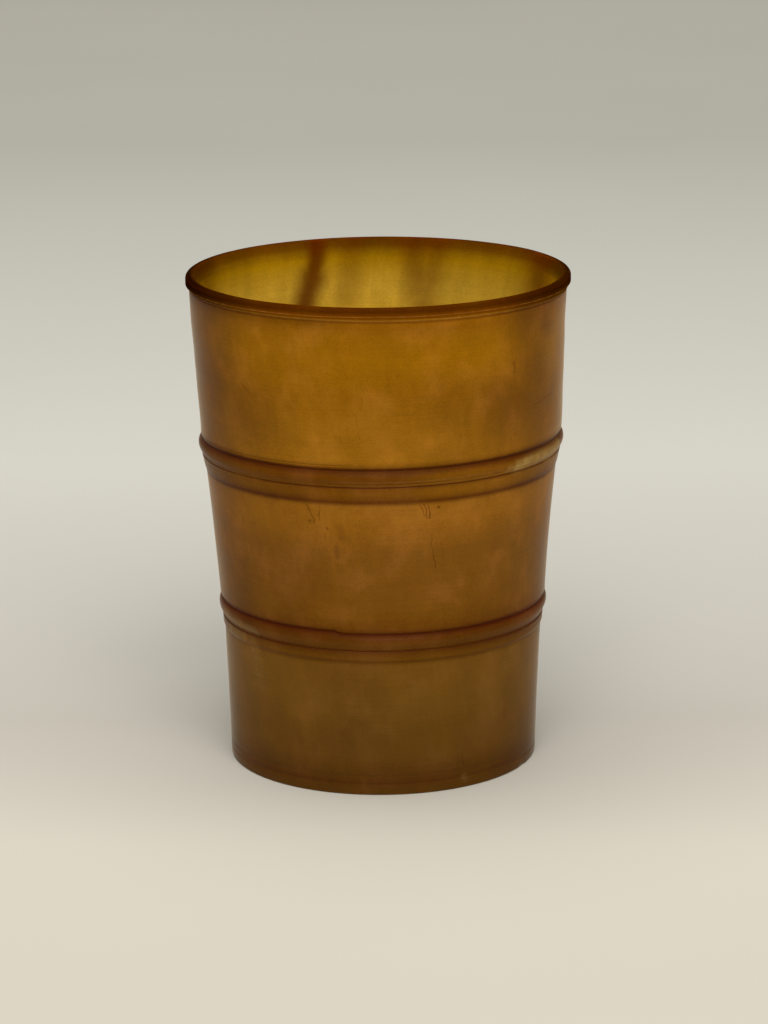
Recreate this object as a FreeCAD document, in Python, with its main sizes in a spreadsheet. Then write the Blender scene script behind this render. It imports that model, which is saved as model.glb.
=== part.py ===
import FreeCAD, Part
import os
import Sketcher

# A beaker turned from cow horn, closed near its foot by a plate of horn.
# Millimetres. +Z is up along the turning axis, and the origin is the middle of the foot, on the table.
# The wall is one tapering tube in three sections, with a turned band between each two.
# A band is, from the top down: a sharp quirk under the next section, a bead, a scored line and a flat strip.
# The rim is a moulding of its own. Inside, near the foot, a groove holds the edge of the plate.

# Each row is a name, its size in millimetres, and what it measures.
SIZES = [
    # Whole beaker
    ("beaker_height", 101.6, "table to the top of the lip"),
    ("overrun", 1.0, "how far a turned cut starts outside the horn"),
    # Outside of the three sections, from the foot up
    ("foot_radius", 31.78, "lower section at the table"),
    ("lower_flare", 0.9, "how much wider the lower section is at its top"),
    ("middle_flare", 2.0, "how much wider the middle section is at its top"),
    ("upper_flare", 1.4, "how much wider the upper section is at its top"),
    # Thickness of the horn
    ("foot_thickness", 1.98, "wall at the table"),
    ("lower_quirk_thickness", 2.12, "wall on the lower quirk"),
    ("upper_quirk_thickness", 2.36, "wall on the upper quirk"),
    ("top_thickness", 1.9, "wall under the rim"),
    # Lower band
    ("lower_quirk_height", 34.7, "lower quirk above the table"),
    ("lower_bead_width", 3.84, "lower bead, scored line to quirk"),
    ("lower_bead_rise", 0.5, "lower bead, out of its chord"),
    ("lower_strip_width", 2.0, "flat strip under the lower scored line"),
    ("lower_strip_flare", 0.08, "how much wider that strip is at the scored line"),
    ("lower_step_width", 0.6, "soft step between that strip and the lower section"),
    ("lower_step_rise", 0.36, "how far that strip stands out from the lower section"),
    ("lower_ledge", 0.5, "how far the middle section stands out from the lower scored line"),
    # Upper band
    ("upper_quirk_height", 68.87, "upper quirk above the table"),
    ("upper_bead_width", 3.87, "upper bead, scored line to quirk"),
    ("upper_bead_rise", 0.55, "upper bead, out of its chord"),
    ("upper_strip_width", 2.6, "flat strip under the upper scored line"),
    ("upper_strip_flare", 0.4, "how much wider that strip is at the scored line"),
    ("upper_step_width", 0.9, "soft step between that strip and the middle section"),
    ("upper_step_rise", 0.6, "how far that strip stands out from the middle section"),
    ("upper_ledge", 0.34, "how far the upper section stands out from the upper scored line"),
    # Fine cuts in the bands and under the rim
    ("quirk_depth", 0.3, "quirk, in from the section above it"),
    ("quirk_width", 0.45, "quirk, up the wall"),
    ("score_depth", 0.22, "scored line, into the horn"),
    ("score_width", 0.34, "scored line, at the surface"),
    # Rim
    ("rim_projection", 0.79, "upright face of the rim, out from the upper section"),
    ("rim_height", 2.7, "rim moulding, lip to arris"),
    ("rim_face_height", 1.75, "upright face of the rim, from the lip down"),
    ("rim_cove_depth", 0.14, "hollow of the cove under that face"),
    ("rim_arris_projection", 0.14, "lower arris of the rim, out from the upper section"),
    ("rim_arris_width", 0.25, "slope under the arris"),
    ("rim_score_drop", 1.2, "fine line under the arris"),
    ("lip_thickness", 1.72, "rim across its top"),
    ("lip_throat_depth", 3.2, "sloping inside of the lip, from the top down"),
    ("lip_outer_rounding", 0.85, "outer edge of the lip"),
    ("lip_inner_rounding", 0.4, "inner edge of the lip"),
    # Foot, and the groove that holds the plate
    ("foot_rounding", 0.4, "outer edge of the foot"),
    ("foot_inner_chamfer", 0.3, "inner edge of the foot"),
    ("recess_depth", 2.8, "table to the underside of the plate"),
    ("groove_depth", 0.75, "groove for the plate, into the wall"),
    # Plate
    ("plate_thickness", 2.6, "plate, face to face"),
    ("plate_tongue_thickness", 1.5, "edge of the plate, in the groove"),
    ("plate_clearance", 0.05, "air between the plate and the wall"),
    ("plate_bevel_width", 0.8, "bevel round each face of the plate"),
    ("plate_dish_depth", 0.25, "hollow turned in the upper face"),
    ("plate_dish_margin", 2.4, "flat round that hollow"),
    ("plate_dish_slope", 3.5, "sloping side of that hollow"),
]
SIZE_NAMES = {name for name, value, meaning in SIZES}

# In a sketch, radius runs to the right along the table and height runs up the turning axis.
TABLE = -1
AXIS = -2
FIRST_END = 1
LAST_END = 2

document = FreeCAD.newDocument("horn_beaker")
sheet = document.addObject("Spreadsheet::Sheet", "Sizes")


def fill_sheet():
    """Gives each size a row of the sheet: its name, its number under that name, and its meaning."""
    for row, (name, value, meaning) in enumerate(SIZES, start=1):
        sheet.set("A%d" % row, name)
        sheet.set("B%d" % row, str(value))
        sheet.set("C%d" % row, meaning)
        sheet.setAlias("B%d" % row, name)
    document.recompute()


def as_expression(words):
    """A sum of sizes, as an expression that reads them from the sheet."""
    return " ".join("Sizes." + word if word in SIZE_NAMES else word for word in words.split())


def worth(words):
    """What a sum of sizes comes to now."""
    return float(sheet.evalExpression(as_expression(words)))


def corner(name, radius, height, bead="", cove=""):
    """A corner of an outline. Its side runs on to the next corner, straight, or as an arc with a rise."""
    return {"name": name, "radius": radius, "height": height, "bead": bead, "cove": cove}


def place_of(point):
    """Where a corner lies in its sketch."""
    return FreeCAD.Vector(worth(point["radius"]), worth(point["height"]), 0)


def add_side(sketch, start, end):
    """Adds the side between two corners. Going up the outside, a bead stands out and a cove falls in."""
    first = place_of(start)
    last = place_of(end)
    rise = start["bead"] or start["cove"]
    if not rise:
        return sketch.addGeometry(Part.LineSegment(first, last), False)
    way = last - first
    right = FreeCAD.Vector(way.y, -way.x, 0).normalize()
    crown = (first + last) * 0.5 + right * (worth(rise) if start["bead"] else -worth(rise))
    return sketch.addGeometry(Part.Arc(first, crown, last), False)


def end_at(sketch, side, place):
    """Which end of a side is the one at that place. An arc is kept anticlockwise, so it may be its last."""
    ends = (FIRST_END, LAST_END)
    return min(ends, key=lambda end: sketch.getPoint(side, end).distanceToPoint(place))


def other_end(end):
    """The end of a side that isn't that one."""
    return LAST_END if end == FIRST_END else FIRST_END


def hold(sketch, name, constraint, words):
    """Adds a measured constraint under a name, tied to its sum of sizes."""
    index = sketch.addConstraint(constraint)
    sketch.renameConstraint(index, name)
    sketch.setExpression("Constraints." + name, as_expression(words))


def hold_corner(sketch, side, end, point):
    """Holds a corner at its radius and height, or on the turning axis or the table where one of them is 0."""
    if point["radius"] == "0":
        sketch.addConstraint(Sketcher.Constraint("PointOnObject", side, end, AXIS))
    else:
        radius = worth(point["radius"])
        across = Sketcher.Constraint("DistanceX", TABLE, FIRST_END, side, end, radius)
        hold(sketch, point["name"] + "_radius", across, point["radius"])
    if point["height"] == "0":
        sketch.addConstraint(Sketcher.Constraint("PointOnObject", side, end, TABLE))
    else:
        height = worth(point["height"])
        up = Sketcher.Constraint("DistanceY", TABLE, FIRST_END, side, end, height)
        hold(sketch, point["name"] + "_height", up, point["height"])


def hold_rise(sketch, side, start, end):
    """Holds an arc's radius, worked out from its chord and how far it stands out of it."""
    across = "( ( %s ) - ( %s ) )" % (end["radius"], start["radius"])
    along = "( ( %s ) - ( %s ) )" % (end["height"], start["height"])
    rise = start["bead"] or start["cove"]
    words = "( %s ^ 2 + %s ^ 2 ) / ( 8 * %s ) + %s / 2" % (across, along, rise, rise)
    constraint = Sketcher.Constraint("Radius", side, worth(words))
    hold(sketch, start["name"] + "_curve", constraint, words)


def draw_outline(sketch, corners):
    """Adds one closed outline to a sketch and ties each of its corners to the sheet."""
    following = corners[1:] + corners[:1]
    sides = [add_side(sketch, start, end) for start, end in zip(corners, following)]
    starts = [end_at(sketch, side, place_of(point)) for side, point in zip(sides, corners)]
    for index, (side, point, after) in enumerate(zip(sides, corners, following)):
        side_before = sides[index - 1]
        end_before = other_end(starts[index - 1])
        sketch.addConstraint(Sketcher.Constraint("Coincident", side_before, end_before, side, starts[index]))
        hold_corner(sketch, side, starts[index], point)
        if point["bead"] or point["cove"]:
            hold_rise(sketch, side, point, after)


def new_body(name):
    """A body, which is one piece of horn."""
    body = document.addObject("PartDesign::Body", name)
    body.Label = name
    body.Placement = FreeCAD.Placement()
    return body


def upright_sketch(body, name):
    """A sketch on the body's own upright plane, with radius to the right and height up."""
    sketch = body.newObject("Sketcher::SketchObject", name)
    plane = next(p for p in body.Origin.OriginFeatures if p.Role == "XZ_Plane")
    sketch.AttachmentSupport = [(plane, "")]
    sketch.MapMode = "FlatFace"
    return sketch


def turn(body, kind, name, outlines):
    """Turns one or more closed outlines right round the axis, to make horn or to cut it away."""
    sketch = upright_sketch(body, name + "_outline")
    for corners in outlines:
        draw_outline(sketch, corners)
    feature = body.newObject("PartDesign::" + kind, name)
    feature.Profile = (sketch, [""])
    feature.ReferenceAxis = (sketch, ["V_Axis"])
    feature.Angle = 360
    sketch.Visibility = False
    document.recompute()
    return feature


def cut(body, name, outlines):
    """Turns a cut and checks that it took horn away."""
    before = body.Shape.Volume
    feature = turn(body, "Groove", name, outlines)
    if not feature.Shape.Volume < before:
        raise RuntimeError("the cut %s takes nothing away" % name)
    return feature


def ring_edge(feature, radius, height):
    """The name of the round edge of that radius at that height."""

    def miss(edge):
        """How far a round edge is from the one that is looked for."""
        return abs(edge.Curve.Radius - worth(radius)) + abs(edge.Curve.Center.z - worth(height))

    edges = list(enumerate(feature.Shape.Edges, start=1))
    rings = [(miss(edge), index) for index, edge in edges if hasattr(edge.Curve, "Radius")]
    return "Edge%d" % min(rings)[1]


def soften(body, kind, name, base, radius, height, size):
    """Rounds or chamfers the ring edge of that radius and height."""
    feature = body.newObject("PartDesign::" + kind, name)
    feature.Base = (base, [ring_edge(base, radius, height)])
    feature.setExpression("Radius" if kind == "Fillet" else "Size", as_expression(size))
    document.recompute()
    return feature


def scored_line(name, radius, height):
    """The outline of a fine V cut of the common depth and width, with its point in the horn."""
    tip = "( %s ) - score_depth" % radius
    mouth = "( %s ) + overrun" % radius
    spread = "score_width / 2 * ( score_depth + overrun ) / score_depth"
    return [
        corner(name + "_tip", tip, height),
        corner(name + "_below", mouth, "( %s ) - %s" % (height, spread)),
        corner(name + "_above", mouth, "( %s ) + %s" % (height, spread)),
    ]


def on_taper(low_radius, low_height, high_radius, high_height, height):
    """The radius at a height on a straight taper between two corners."""
    share = "( ( %s ) - ( %s ) ) / ( ( %s ) - ( %s ) )" % (height, low_height, high_height, low_height)
    return "( %s ) + ( ( %s ) - ( %s ) ) * %s" % (low_radius, high_radius, low_radius, share)


# Radii that more than one corner, cut or piece follows, from the foot up
LOWER_TOP_RADIUS = "foot_radius + lower_flare"
LOWER_STRIP_RADIUS = LOWER_TOP_RADIUS + " + lower_step_rise"
LOWER_SCORE_RADIUS = LOWER_STRIP_RADIUS + " + lower_strip_flare"
MIDDLE_FOOT_RADIUS = LOWER_SCORE_RADIUS + " + lower_ledge"
MIDDLE_TOP_RADIUS = MIDDLE_FOOT_RADIUS + " + middle_flare"
UPPER_STRIP_RADIUS = MIDDLE_TOP_RADIUS + " + upper_step_rise"
UPPER_SCORE_RADIUS = UPPER_STRIP_RADIUS + " + upper_strip_flare"
UPPER_FOOT_RADIUS = UPPER_SCORE_RADIUS + " + upper_ledge"
UPPER_TOP_RADIUS = UPPER_FOOT_RADIUS + " + upper_flare"
ARRIS_RADIUS = UPPER_TOP_RADIUS + " + rim_arris_projection"
RIM_RADIUS = UPPER_TOP_RADIUS + " + rim_projection"
LIP_INSIDE_RADIUS = RIM_RADIUS + " - lip_thickness"
BORE_AT_TABLE = "foot_radius - foot_thickness"
BORE_AT_LOWER_QUIRK = MIDDLE_FOOT_RADIUS + " - lower_quirk_thickness"
BORE_AT_UPPER_QUIRK = UPPER_FOOT_RADIUS + " - upper_quirk_thickness"
BORE_AT_THROAT = UPPER_TOP_RADIUS + " - top_thickness"

# Heights that more than one corner, cut or piece follows, from the foot up
LOWER_SCORE_HEIGHT = "lower_quirk_height - lower_bead_width"
LOWER_STRIP_HEIGHT = LOWER_SCORE_HEIGHT + " - lower_strip_width"
LOWER_TOP_HEIGHT = LOWER_STRIP_HEIGHT + " - lower_step_width"
MIDDLE_FOOT_HEIGHT = "lower_quirk_height + quirk_width"
UPPER_SCORE_HEIGHT = "upper_quirk_height - upper_bead_width"
UPPER_STRIP_HEIGHT = UPPER_SCORE_HEIGHT + " - upper_strip_width"
UPPER_TOP_HEIGHT = UPPER_STRIP_HEIGHT + " - upper_step_width"
ARRIS_HEIGHT = "beaker_height - rim_height"
UPPER_END_HEIGHT = ARRIS_HEIGHT + " - rim_arris_width"
RIM_SCORE_HEIGHT = ARRIS_HEIGHT + " - rim_score_drop"
UPPER_FOOT_HEIGHT = "upper_quirk_height + quirk_width"
TONGUE_BELOW = "recess_depth + ( plate_thickness - plate_tongue_thickness ) / 2"
TONGUE_ABOVE = TONGUE_BELOW + " + plate_tongue_thickness"
PLATE_TOP = "recess_depth + plate_thickness"
BORE_AT_TONGUE = on_taper(BORE_AT_TABLE, "0", BORE_AT_LOWER_QUIRK, "lower_quirk_height", TONGUE_BELOW)
GROOVE_FLOOR = "( %s ) + groove_depth" % BORE_AT_TONGUE


def wall_outline():
    """The wall's section: up the outside from the foot, over the lip, and down the inside."""
    return [
        corner("foot_inside", BORE_AT_TABLE, "0"),
        corner("foot_outside", "foot_radius", "0"),
        corner("lower_top", LOWER_TOP_RADIUS, LOWER_TOP_HEIGHT),
        corner("lower_strip", LOWER_STRIP_RADIUS, LOWER_STRIP_HEIGHT),
        corner("lower_score", LOWER_SCORE_RADIUS, LOWER_SCORE_HEIGHT, bead="lower_bead_rise"),
        corner("lower_quirk", MIDDLE_FOOT_RADIUS + " - quirk_depth", "lower_quirk_height"),
        corner("middle_foot", MIDDLE_FOOT_RADIUS, MIDDLE_FOOT_HEIGHT),
        corner("middle_top", MIDDLE_TOP_RADIUS, UPPER_TOP_HEIGHT),
        corner("upper_strip", UPPER_STRIP_RADIUS, UPPER_STRIP_HEIGHT),
        corner("upper_score", UPPER_SCORE_RADIUS, UPPER_SCORE_HEIGHT, bead="upper_bead_rise"),
        corner("upper_quirk", UPPER_FOOT_RADIUS + " - quirk_depth", "upper_quirk_height"),
        corner("upper_foot", UPPER_FOOT_RADIUS, UPPER_FOOT_HEIGHT),
        corner("upper_end", UPPER_TOP_RADIUS, UPPER_END_HEIGHT),
        corner("rim_arris", ARRIS_RADIUS, ARRIS_HEIGHT, cove="rim_cove_depth"),
        corner("rim_face", RIM_RADIUS, "beaker_height - rim_face_height"),
        corner("lip_outside", RIM_RADIUS, "beaker_height"),
        corner("lip_inside", LIP_INSIDE_RADIUS, "beaker_height"),
        corner("throat", BORE_AT_THROAT, "beaker_height - lip_throat_depth"),
        corner("bore_at_upper_quirk", BORE_AT_UPPER_QUIRK, "upper_quirk_height"),
        corner("bore_at_lower_quirk", BORE_AT_LOWER_QUIRK, "lower_quirk_height"),
    ]


def groove_outline():
    """The square groove inside the foot that holds the plate's tongue, with air all round it."""
    mouth = BORE_AT_TABLE + " - overrun"
    below = TONGUE_BELOW + " - plate_clearance"
    above = TONGUE_ABOVE + " + plate_clearance"
    return [
        corner("mouth_below", mouth, below),
        corner("floor_below", GROOVE_FLOOR, below),
        corner("floor_above", GROOVE_FLOOR, above),
        corner("mouth_above", mouth, above),
    ]


def make_cup_wall():
    """The turned wall, with its rim, its two bands, its foot and the groove for the plate."""
    body = new_body("cup_wall")
    blank = turn(body, "Revolution", "turned_blank", [wall_outline()])
    upper_taper = (UPPER_FOOT_RADIUS, UPPER_FOOT_HEIGHT, UPPER_TOP_RADIUS, UPPER_END_HEIGHT)
    lip = soften(body, "Fillet", "lip_outside", blank, RIM_RADIUS, "beaker_height", "lip_outer_rounding")
    lip = soften(body, "Fillet", "lip_inside", lip, LIP_INSIDE_RADIUS, "beaker_height", "lip_inner_rounding")
    foot = soften(body, "Fillet", "foot_outside", lip, "foot_radius", "0", "foot_rounding")
    soften(body, "Chamfer", "foot_inside", foot, BORE_AT_TABLE, "0", "foot_inner_chamfer")
    cut(body, "plate_groove", [groove_outline()])
    cut(
        body,
        "scored_lines",
        [
            scored_line("lower_line", LOWER_SCORE_RADIUS, LOWER_SCORE_HEIGHT),
            scored_line("upper_line", UPPER_SCORE_RADIUS, UPPER_SCORE_HEIGHT),
            scored_line("rim_line", on_taper(*upper_taper, RIM_SCORE_HEIGHT), RIM_SCORE_HEIGHT),
        ],
    )
    return body


def make_bottom_disc():
    """The plate: its tongue fills the groove, and both its faces are bevelled down to the tongue."""
    body = new_body("bottom_disc")
    shoulder = "( %s ) - plate_clearance" % BORE_AT_TONGUE
    face = shoulder + " - plate_bevel_width"
    dish = face + " - plate_dish_margin"
    edge = "( %s ) - plate_clearance" % GROOVE_FLOOR
    outline = [
        corner("middle_below", "0", "recess_depth"),
        corner("face_below", face, "recess_depth"),
        corner("shoulder_below", shoulder, TONGUE_BELOW),
        corner("edge_below", edge, TONGUE_BELOW),
        corner("edge_above", edge, TONGUE_ABOVE),
        corner("shoulder_above", shoulder, TONGUE_ABOVE),
        corner("face_above", face, PLATE_TOP),
        corner("dish_edge", dish, PLATE_TOP),
        corner("dish_floor", dish + " - plate_dish_slope", PLATE_TOP + " - plate_dish_depth"),
        corner("middle_above", "0", PLATE_TOP + " - plate_dish_depth"),
    ]
    turn(body, "Revolution", "turned_plate", [outline])
    return body


def check_document(bodies):
    """Stops if anything failed to build, is empty or isn't sound."""
    for item in document.Objects:
        if "Invalid" in item.State or "Error" in item.State:
            raise RuntimeError("%s didn't build" % item.Name)
        if item.isDerivedFrom("Sketcher::SketchObject") and not item.FullyConstrained:
            raise RuntimeError("the sketch %s isn't fully held" % item.Name)
    for body in bodies:
        if body.Shape.isNull() or not body.Shape.isValid() or len(body.Shape.Solids) != 1:
            raise RuntimeError("%s isn't one sound solid" % body.Label)


def main():
    fill_sheet()
    bodies = [make_cup_wall(), make_bottom_disc()]
    document.recompute()
    check_document(bodies)
    os.makedirs("parts", exist_ok=True)
    for body in bodies:
        body.Shape.exportStep("parts/%s.step" % body.Label)
        box = body.Shape.optimalBoundingBox()
        size = (body.Label, body.Shape.Volume / 1000, box.XLength, box.YLength, box.ZMin, box.ZMax)
        print("%s: %.2f ml, %.2f x %.2f mm across, from %.2f to %.2f mm up" % size)


main()
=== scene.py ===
"""The looks of an old turned horn beaker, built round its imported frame.

Lengths are in metres, and MM turns millimetres into them. Angles round the beaker are 0 at the front, the
side of -Y, and grow to the right. Marks inside are given by their angle from the back instead.
"""

import math
from collections import namedtuple

import bmesh
import bpy
from bpy.props import FloatProperty, FloatVectorProperty, IntProperty, PointerProperty
from bpy.types import Operator, Panel, PropertyGroup
from mathutils import Matrix, Vector, noise


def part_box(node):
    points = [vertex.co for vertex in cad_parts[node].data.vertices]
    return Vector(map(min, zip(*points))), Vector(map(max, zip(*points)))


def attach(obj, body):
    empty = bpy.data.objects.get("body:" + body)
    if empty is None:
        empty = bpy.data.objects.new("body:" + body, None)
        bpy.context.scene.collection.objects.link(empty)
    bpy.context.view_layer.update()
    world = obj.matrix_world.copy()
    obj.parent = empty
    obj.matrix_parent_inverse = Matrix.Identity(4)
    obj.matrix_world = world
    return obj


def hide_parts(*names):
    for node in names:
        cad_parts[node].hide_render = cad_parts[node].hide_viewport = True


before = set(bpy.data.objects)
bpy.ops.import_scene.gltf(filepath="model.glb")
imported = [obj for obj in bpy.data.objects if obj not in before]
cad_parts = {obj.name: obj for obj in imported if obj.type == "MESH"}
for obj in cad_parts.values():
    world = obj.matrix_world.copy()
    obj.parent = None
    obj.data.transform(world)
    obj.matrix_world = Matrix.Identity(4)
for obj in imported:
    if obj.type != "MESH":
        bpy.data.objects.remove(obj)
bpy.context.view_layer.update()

bl_info = {
    "name": "Turned Horn Beaker",
    "version": (1, 0, 0),
    "blender": (4, 5, 0),
    "location": "3D View > Sidebar > Beaker",
    "description": "Makes an old turned horn beaker, its worn amber finish and a plain studio round it",
    "category": "Mesh",
}

MM = 0.001
BODY = "root"
WALL_LOW, WALL_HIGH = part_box("cup_wall")
PLATE_LOW, PLATE_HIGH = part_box("bottom_disc")
PLATE_CLEARANCE = 0.05 * MM


# Properties that the sidebar shows


def length(name, metres, description):
    """A length of the beaker."""
    return FloatProperty(
        name=name, description=description, default=metres, precision=5, subtype="DISTANCE", unit="LENGTH"
    )


def camera_turn(name, degrees, description):
    """A turn of the camera."""
    return FloatProperty(
        name=name, description=description, default=math.radians(degrees), subtype="ANGLE"
    )


def light_of(byte):
    """The light that a screen's number from 0 to 255 stands for."""
    share = byte / 255
    return share / 12.92 if share <= 0.04045 else ((share + 0.055) / 1.055) ** 2.4


def colour(name, red, green, blue, description):
    """A colour, given as a screen's three numbers."""
    return FloatVectorProperty(
        name=name,
        description=description,
        subtype="COLOR",
        size=3,
        min=0.0,
        max=1.0,
        default=[light_of(byte) for byte in (red, green, blue)],
    )


class WallSizes(PropertyGroup):
    """Sizes of the turned wall, from the rim down."""

    height: length("Height", WALL_HIGH.z, "Table to the top of the lip")
    rim_radius: length("Rim radius", WALL_HIGH.x, "Widest part of the rim")
    rim_projection: length("Rim projection", 0.79 * MM, "Rim, out from the upper section")
    rim_height: length("Rim height", 2.95 * MM, "Lip to the arris under the rim")
    rim_face_height: length("Rim face", 2.15 * MM, "Upright face of the rim, from the lip down")
    rim_cove: length("Rim cove", 0.14 * MM, "Hollow under that face")
    arris_projection: length("Arris projection", 0.2 * MM, "Arris under the rim, out from the upper section")
    arris_width: length("Arris width", 0.25 * MM, "Slope under the arris")
    lip_thickness: length("Lip", 1.72 * MM, "Rim across its top")
    lip_outer_rounding: length("Outer rounding", 0.85 * MM, "Outer edge of the lip")
    lip_inner_rounding: length("Inner rounding", 0.4 * MM, "Inner edge of the lip")
    throat_depth: length("Throat", 3.2 * MM, "Sloping inside of the lip, from the top down")
    upper_flare: length("Upper flare", 1.4 * MM, "How much wider the upper section is at its top")
    middle_flare: length("Middle flare", 2.3 * MM, "How much wider the middle section is at its top")
    middle_hollow: length("Middle hollow", 0.15 * MM, "How far the middle section curves in")
    lower_flare: length("Lower flare", 1.0 * MM, "How much wider the lower section is at its top")
    lower_hollow: length("Lower hollow", 0.08 * MM, "How far the lower section curves in")
    upper_ledge: length("Upper ledge", 0.2 * MM, "Upper section, out from the line scored under it")
    upper_strip_flare: length("Upper strip flare", 0.5 * MM, "Upper strip, wider at its scored line")
    upper_step: length("Upper step", 0.34 * MM, "Upper strip, out from the middle section")
    upper_quirk_height: length("Upper quirk", 68.5 * MM, "Upper quirk above the table")
    upper_bead_width: length("Upper bead", 3.45 * MM, "Upper bead, scored line to quirk")
    upper_crown_drop: length("Upper crown", 1.45 * MM, "Widest part of the upper bead, under its quirk")
    upper_crown_rise: length("Upper crown rise", 0.9 * MM, "Upper bead, out from its scored line")
    upper_strip_width: length("Upper strip", 2.6 * MM, "Flat strip under the upper scored line")
    upper_step_width: length("Upper step width", 0.9 * MM, "Soft step under the upper strip")
    lower_ledge: length("Lower ledge", 0.42 * MM, "Middle section, out from the line scored under it")
    lower_strip_flare: length("Lower strip flare", 0.08 * MM, "Lower strip, wider at its scored line")
    lower_step: length("Lower step", 0.34 * MM, "Lower strip, out from the lower section")
    lower_quirk_height: length("Lower quirk", 34.35 * MM, "Lower quirk above the table")
    lower_bead_width: length("Lower bead", 3.75 * MM, "Lower bead, scored line to quirk")
    lower_crown_drop: length("Lower crown", 1.5 * MM, "Widest part of the lower bead, under its quirk")
    lower_crown_rise: length("Lower crown rise", 0.9 * MM, "Lower bead, out from its scored line")
    lower_strip_width: length("Lower strip", 1.9 * MM, "Flat strip under the lower scored line")
    lower_step_width: length("Lower step width", 0.6 * MM, "Soft step under the lower strip")
    quirk_depth: length("Quirk depth", 0.3 * MM, "Quirk, in from the section above it")
    quirk_width: length("Quirk width", 0.45 * MM, "Quirk, up the wall")
    score_depth: length("Score depth", 0.16 * MM, "Scored line, into the horn")
    score_width: length("Score width", 0.34 * MM, "Scored line, at the surface")
    top_thickness: length("Top thickness", 1.9 * MM, "Wall under the rim")
    upper_thickness: length("Upper thickness", 2.36 * MM, "Wall at the upper quirk")
    lower_thickness: length("Lower thickness", 2.12 * MM, "Wall at the lower quirk")
    foot_thickness: length("Foot thickness", 1.98 * MM, "Wall at the table")
    foot_rounding: length("Foot rounding", 0.4 * MM, "Outer edge of the foot")
    foot_chamfer: length("Foot chamfer", 0.3 * MM, "Inner edge of the foot")
    crest_rounding: length("Crest rounding", 0.8 * MM, "Rounding of the beads, along each side")
    edge_rounding: length("Edge rounding", 0.1 * MM, "Wear on the turned edges")
    groove_floor_radius: length("Groove", PLATE_HIGH.x + PLATE_CLEARANCE, "Floor of the plate's groove")
    groove_low: length("Groove, lower side", 3.3 * MM, "Lower side of the plate's groove")
    groove_high: length("Groove, upper side", 4.9 * MM, "Upper side of the plate's groove")
    lip_wear: length("Lip wear", 0.35 * MM, "How much lower the lip is at the front, where it was drunk from")
    wander: length("Wander", 0.03 * MM, "How far the hand-turned wall leaves a true circle")
    steps: IntProperty(name="Steps", description="Steps round the wall", default=256, min=32)


class PlateSizes(PropertyGroup):
    """Sizes of the plate that closes the foot."""

    low: length("Underside", PLATE_LOW.z, "Underside of the plate above the table")
    high: length("Upper face", PLATE_HIGH.z, "Upper face of the plate above the table")
    tongue_radius: length("Tongue radius", PLATE_HIGH.x, "Edge of the plate, in the wall's groove")
    tongue_thickness: length("Tongue", 1.5 * MM, "Edge of the plate, in the wall's groove")
    shoulder: length("Shoulder", 0.75 * MM, "How far the tongue stands out of the plate")
    bevel: length("Bevel", 0.8 * MM, "Bevel round each face")
    dish_margin: length("Dish margin", 2.4 * MM, "Flat round the hollow of the upper face")
    dish_slope: length("Dish slope", 3.5 * MM, "Sloping side of that hollow")
    dish_depth: length("Dish depth", 0.25 * MM, "Hollow turned in the upper face")
    ripple: length("Ripple", 0.012 * MM, "Height of the rings that the tool left")
    ripple_width: length("Ripple width", 0.9 * MM, "From one of those rings to the next")
    edge_rounding: length("Edge rounding", 0.18 * MM, "Wear on the plate's edges")
    steps: IntProperty(name="Steps", description="Steps round the plate", default=192, min=32)


class HornColours(PropertyGroup):
    """Colours of the horn, some with painted shade towards the foot and in the mouldings and painted light
    inside.
    """

    # These section colours darken towards the foot: partly the horn's own tone, partly painted shade where
    # less light comes through the wall lower down.
    upper_top: colour("Upper section", 152, 100, 3, "Amber of the upper section under the rim")
    upper: colour("Middle of the upper section", 143, 93, 8, "Darker amber half way up the upper section")
    upper_foot: colour("Foot of the upper section", 152, 101, 16, "Bright amber over the upper band")
    upper_bead: colour("Upper bead", 103, 59, 3, "Olive brown of the upper bead")
    upper_strip: colour("Upper strip", 117, 71, 6, "Strip under the upper bead")
    middle_top: colour("Top of the middle section", 145, 94, 20, "Amber under the upper band")
    middle: colour("Middle section", 126, 81, 19, "Brown amber of the middle section")
    middle_foot: colour("Foot of the middle section", 115, 72, 11, "Brown over the lower band")
    lower_bead: colour("Lower bead", 101, 61, 8, "Brown of the lower bead")
    lower_strip: colour("Lower strip", 103, 64, 8, "Strip under the lower bead")
    lower: colour("Lower section", 110, 75, 21, "Olive brown of the lower section")
    foot: colour("Foot", 88, 55, 13, "Dark brown of the foot")
    rim_face: colour("Rim, lower part", 132, 73, 2, "Brown amber of the rim's face")
    rim: colour("Rim", 81, 39, 1, "Dark brown of the lip")
    lip: colour("Lip", 66, 31, 0, "Darkest brown, on top of the lip")
    # Grime and painted shade: the dark of the quirks, scored lines and hollows is old grime together with the
    # shade that falls in them.
    grime: colour("Grime", 70, 18, 0, "Old grime in quirks and scored lines")
    # Pale worn horn on the turned edges; the same colour also makes the painted highlights on the upper bead.
    worn: colour("Worn edges", 182, 130, 62, "Pale scuffed horn on the turned edges")
    bloom: colour("Bloom", 150, 106, 78, "Dull bloom on the outside")
    olive: colour("Olive patches", 104, 70, 6, "Greener, darker patches of the horn")
    inner_lip: colour("Inner lip", 107, 66, 3, "Olive brown inside the lip")
    inner_top: colour("Upper inside", 168, 126, 9, "Olive amber under the lip, inside")
    # Painted light: the inside is pale honey where light falls through the wall.
    honey: colour("Inside", 196, 157, 48, "Pale honey of the lit inside")
    depth: colour("Deep inside", 140, 92, 22, "Inside near the plate")
    streak: colour("Streaks", 92, 33, 0, "Dark lengthwise streaks of the horn")
    # Pale scuffed horn; at the ends of the beads it also stands for painted reflections of the surroundings.
    scrape_and_reflection: colour("Scrape", 196, 168, 96, "Scraped pale end of the upper bead")
    plate: colour("Plate", 112, 72, 22, "Brown of the plate")
    plate_pale: colour("Plate, paler grain", 146, 100, 38, "Paler grain of the plate")


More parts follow.
